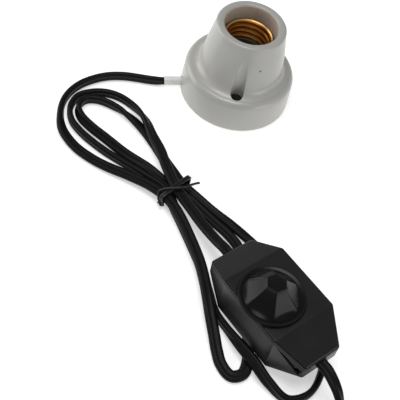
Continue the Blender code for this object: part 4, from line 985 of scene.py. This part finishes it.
class LAMPHOLDER_OT_knob(bpy.types.Operator):
    """Shape the dimmer's knob: a dished skirt and a six-sided grip"""

    bl_idname = "lampholder.knob"
    bl_label = "Dimmer knob"

    def execute(self, context):
        sizes = context.scene.dimmer_sizes
        radius = sizes.knob_radius
        top = sizes.knob_height
        bore = 3.2 * MM
        skirt = [(radius - 0.25 * MM, 0.0), (radius, 0.3 * MM), (radius, 1.35 * MM),
                 (radius - 0.25 * MM, 1.7 * MM), (radius - 0.7 * MM, 1.8 * MM),
                 (radius - 1.5 * MM, 1.55 * MM), (radius - 2.3 * MM, 1.3 * MM)]
        grip = []
        foot = 14.0 * MM
        crown = 4.9 * MM
        for i in range(19):
            share = 1 - i / 18
            grip.append((crown + (foot - crown) * share ** 1.25,
                         1.25 * MM + (top - 1.35 * MM) * (1 - share)))
        inside = [(0.0, 8.0 * MM), (bore, 8.0 * MM), (bore, 0.0)]
        peak = [(crown - 0.2 * MM, top), (crown - 1.4 * MM, top - 0.1 * MM), (0.0, top - 0.12 * MM)]
        profile = inside + skirt + grip[1:] + peak
        knob = turned("dial_knob", profile, 144)

        def facet(co):
            reach = math.hypot(co.x, co.y)
            if co.z < 1.28 * MM or reach < bore + 0.05 * MM and co.z < 8.1 * MM or reach > 13.9 * MM:
                return co
            angle = math.atan2(co.y, co.x) - math.radians(-9.0)
            power = 34
            total = sum(abs(math.cos(angle - k * math.pi / 3)) ** power for k in range(3))
            flat = 0.902 / total ** (1 / power)
            hold = min(1.0, (co.z - 1.2 * MM) / (1.2 * MM))
            k = 1 + (flat - 1) * hold
            return Vector((co.x * k, co.y * k, co.z))

        reshape(knob, facet)
        place = Matrix.Translation(Vector((0.0, -sizes.knob_offset, sizes.case_height + sizes.knob_gap)))
        settle(knob, "knob", finish_for("knob"), ["dimmer_knob"], 24.0,
               dimmer_matrix() @ place)
        dress(finish_for("grey"), "potentiometer_shaft", "potentiometer_body")
        return {"FINISHED"}


class LAMPHOLDER_OT_casing(bpy.types.Operator):
    """Dress the dimmer's casing and what is inside it"""

    bl_idname = "lampholder.casing"
    bl_label = "Dimmer casing"

    def execute(self, context):
        dress(finish_for("casing"), "dimmer_lid", "dimmer_tray", "far_cord_clamp", "near_cord_clamp")
        dress(finish_for("board"), "circuit_board")
        dress(finish_for("triac"), "triac")
        dress(finish_for("film"), "film_capacitor")
        dress(finish_for("timing"), "timing_capacitor")
        dress(finish_for("ferrite"), "choke_core")
        dress(finish_for("copper"), "choke_winding")
        dress(finish_for("resistor"), "near_resistor", "far_resistor")
        dress(finish_for("fuse"), "fuse")
        dress(finish_for("green"), "far_terminal_block", "near_terminal_block")
        return {"FINISHED"}


class LAMPHOLDER_OT_plug(bpy.types.Operator):
    """Dress the moulded plug"""

    bl_idname = "lampholder.plug"
    bl_label = "Plug"

    def execute(self, context):
        dress(finish_for("plug"), "plug_body")
        return {"FINISHED"}


class LAMPHOLDER_OT_stage(bpy.types.Operator):
    """Add a pale floor and soft lights"""

    bl_idname = "lampholder.stage"
    bl_label = "Stage"

    def execute(self, context):
        deselect()
        bpy.ops.mesh.primitive_plane_add(size=6.0, location=(0, 0, -0.0002))
        floor = context.object
        floor.name = "studio_floor"
        made = Finish("studio_paper", (0.86, 0.86, 0.86), 0.9, emission_strength=0.5)
        made.feed("Base Color", made.blend(made.noise(3.0), (0.84, 0.84, 0.84), (0.86, 0.86, 0.86)))
        made.feed("Emission Color", (1.0, 1.0, 1.0, 1.0))
        floor.data.materials.append(made.material)
        world = bpy.data.worlds.new("studio")
        world.use_nodes = True
        world.node_tree.nodes["Background"].inputs["Color"].default_value = (1.0, 1.0, 1.0, 1.0)
        world.node_tree.nodes["Background"].inputs["Strength"].default_value = 0.17
        context.scene.world = world
        context.scene.view_settings.view_transform = "Standard"
        middle = Vector((0.0, -0.1, 0.0))
        for name, spot, size, power in (
            ("left_light", (-1.1, 0.12, 0.34), 0.8, 6.5),
            ("right_light", (1.0, -0.55, 0.24), 0.6, 3.3),
            ("top_light", (-0.12, -0.12, 1.3), 0.7, 8.4),
        ):
            deselect()
            bpy.ops.object.light_add(type="AREA", location=spot)
            lamp = context.object
            lamp.name = name
            lamp.data.size = size
            lamp.data.energy = power
            lamp.rotation_euler = (middle - Vector(spot)).to_track_quat("-Z", "Y").to_euler()
        return {"FINISHED"}


class LAMPHOLDER_PT_pieces(bpy.types.Panel):
    """The pieces in the order in which they are made"""

    bl_label = "Lamp Holder"
    bl_idname = "LAMPHOLDER_PT_pieces"
    bl_space_type = "VIEW_3D"
    bl_region_type = "UI"
    bl_category = "Lamp Holder"

    def draw(self, context):
        for group in ("holder_sizes", "cord_sizes", "dimmer_sizes", "finishes"):
            box = self.layout.box()
            settings = getattr(context.scene, group)
            for key in settings.__annotations__:
                box.prop(settings, key)
        for step in STEPS:
            self.layout.operator(step.bl_idname)


GROUPS = {
    "holder_sizes": HolderSizes,
    "cord_sizes": CordSizes,
    "dimmer_sizes": DimmerSizes,
    "finishes": Finishes,
}
STEPS = (
    LAMPHOLDER_OT_camera,
    LAMPHOLDER_OT_cords,
    LAMPHOLDER_OT_porcelain,
    LAMPHOLDER_OT_shell,
    LAMPHOLDER_OT_sleeve,
    LAMPHOLDER_OT_knob,
    LAMPHOLDER_OT_casing,
    LAMPHOLDER_OT_plug,
    LAMPHOLDER_OT_stage,
)


def register():
    for kind in (*GROUPS.values(), *STEPS, LAMPHOLDER_PT_pieces):
        bpy.utils.register_class(kind)
    for name, kind in GROUPS.items():
        setattr(bpy.types.Scene, name, bpy.props.PointerProperty(type=kind))


def unregister():
    for name in GROUPS:
        delattr(bpy.types.Scene, name)
    for kind in (LAMPHOLDER_PT_pieces, *STEPS[::-1], *list(GROUPS.values())[::-1]):
        bpy.utils.unregister_class(kind)


def main():
    register()
    for step in STEPS:
        group, name = step.bl_idname.split(".")
        getattr(getattr(bpy.ops, group), name)()
    deselect()


if __name__ == "__main__":
    main()
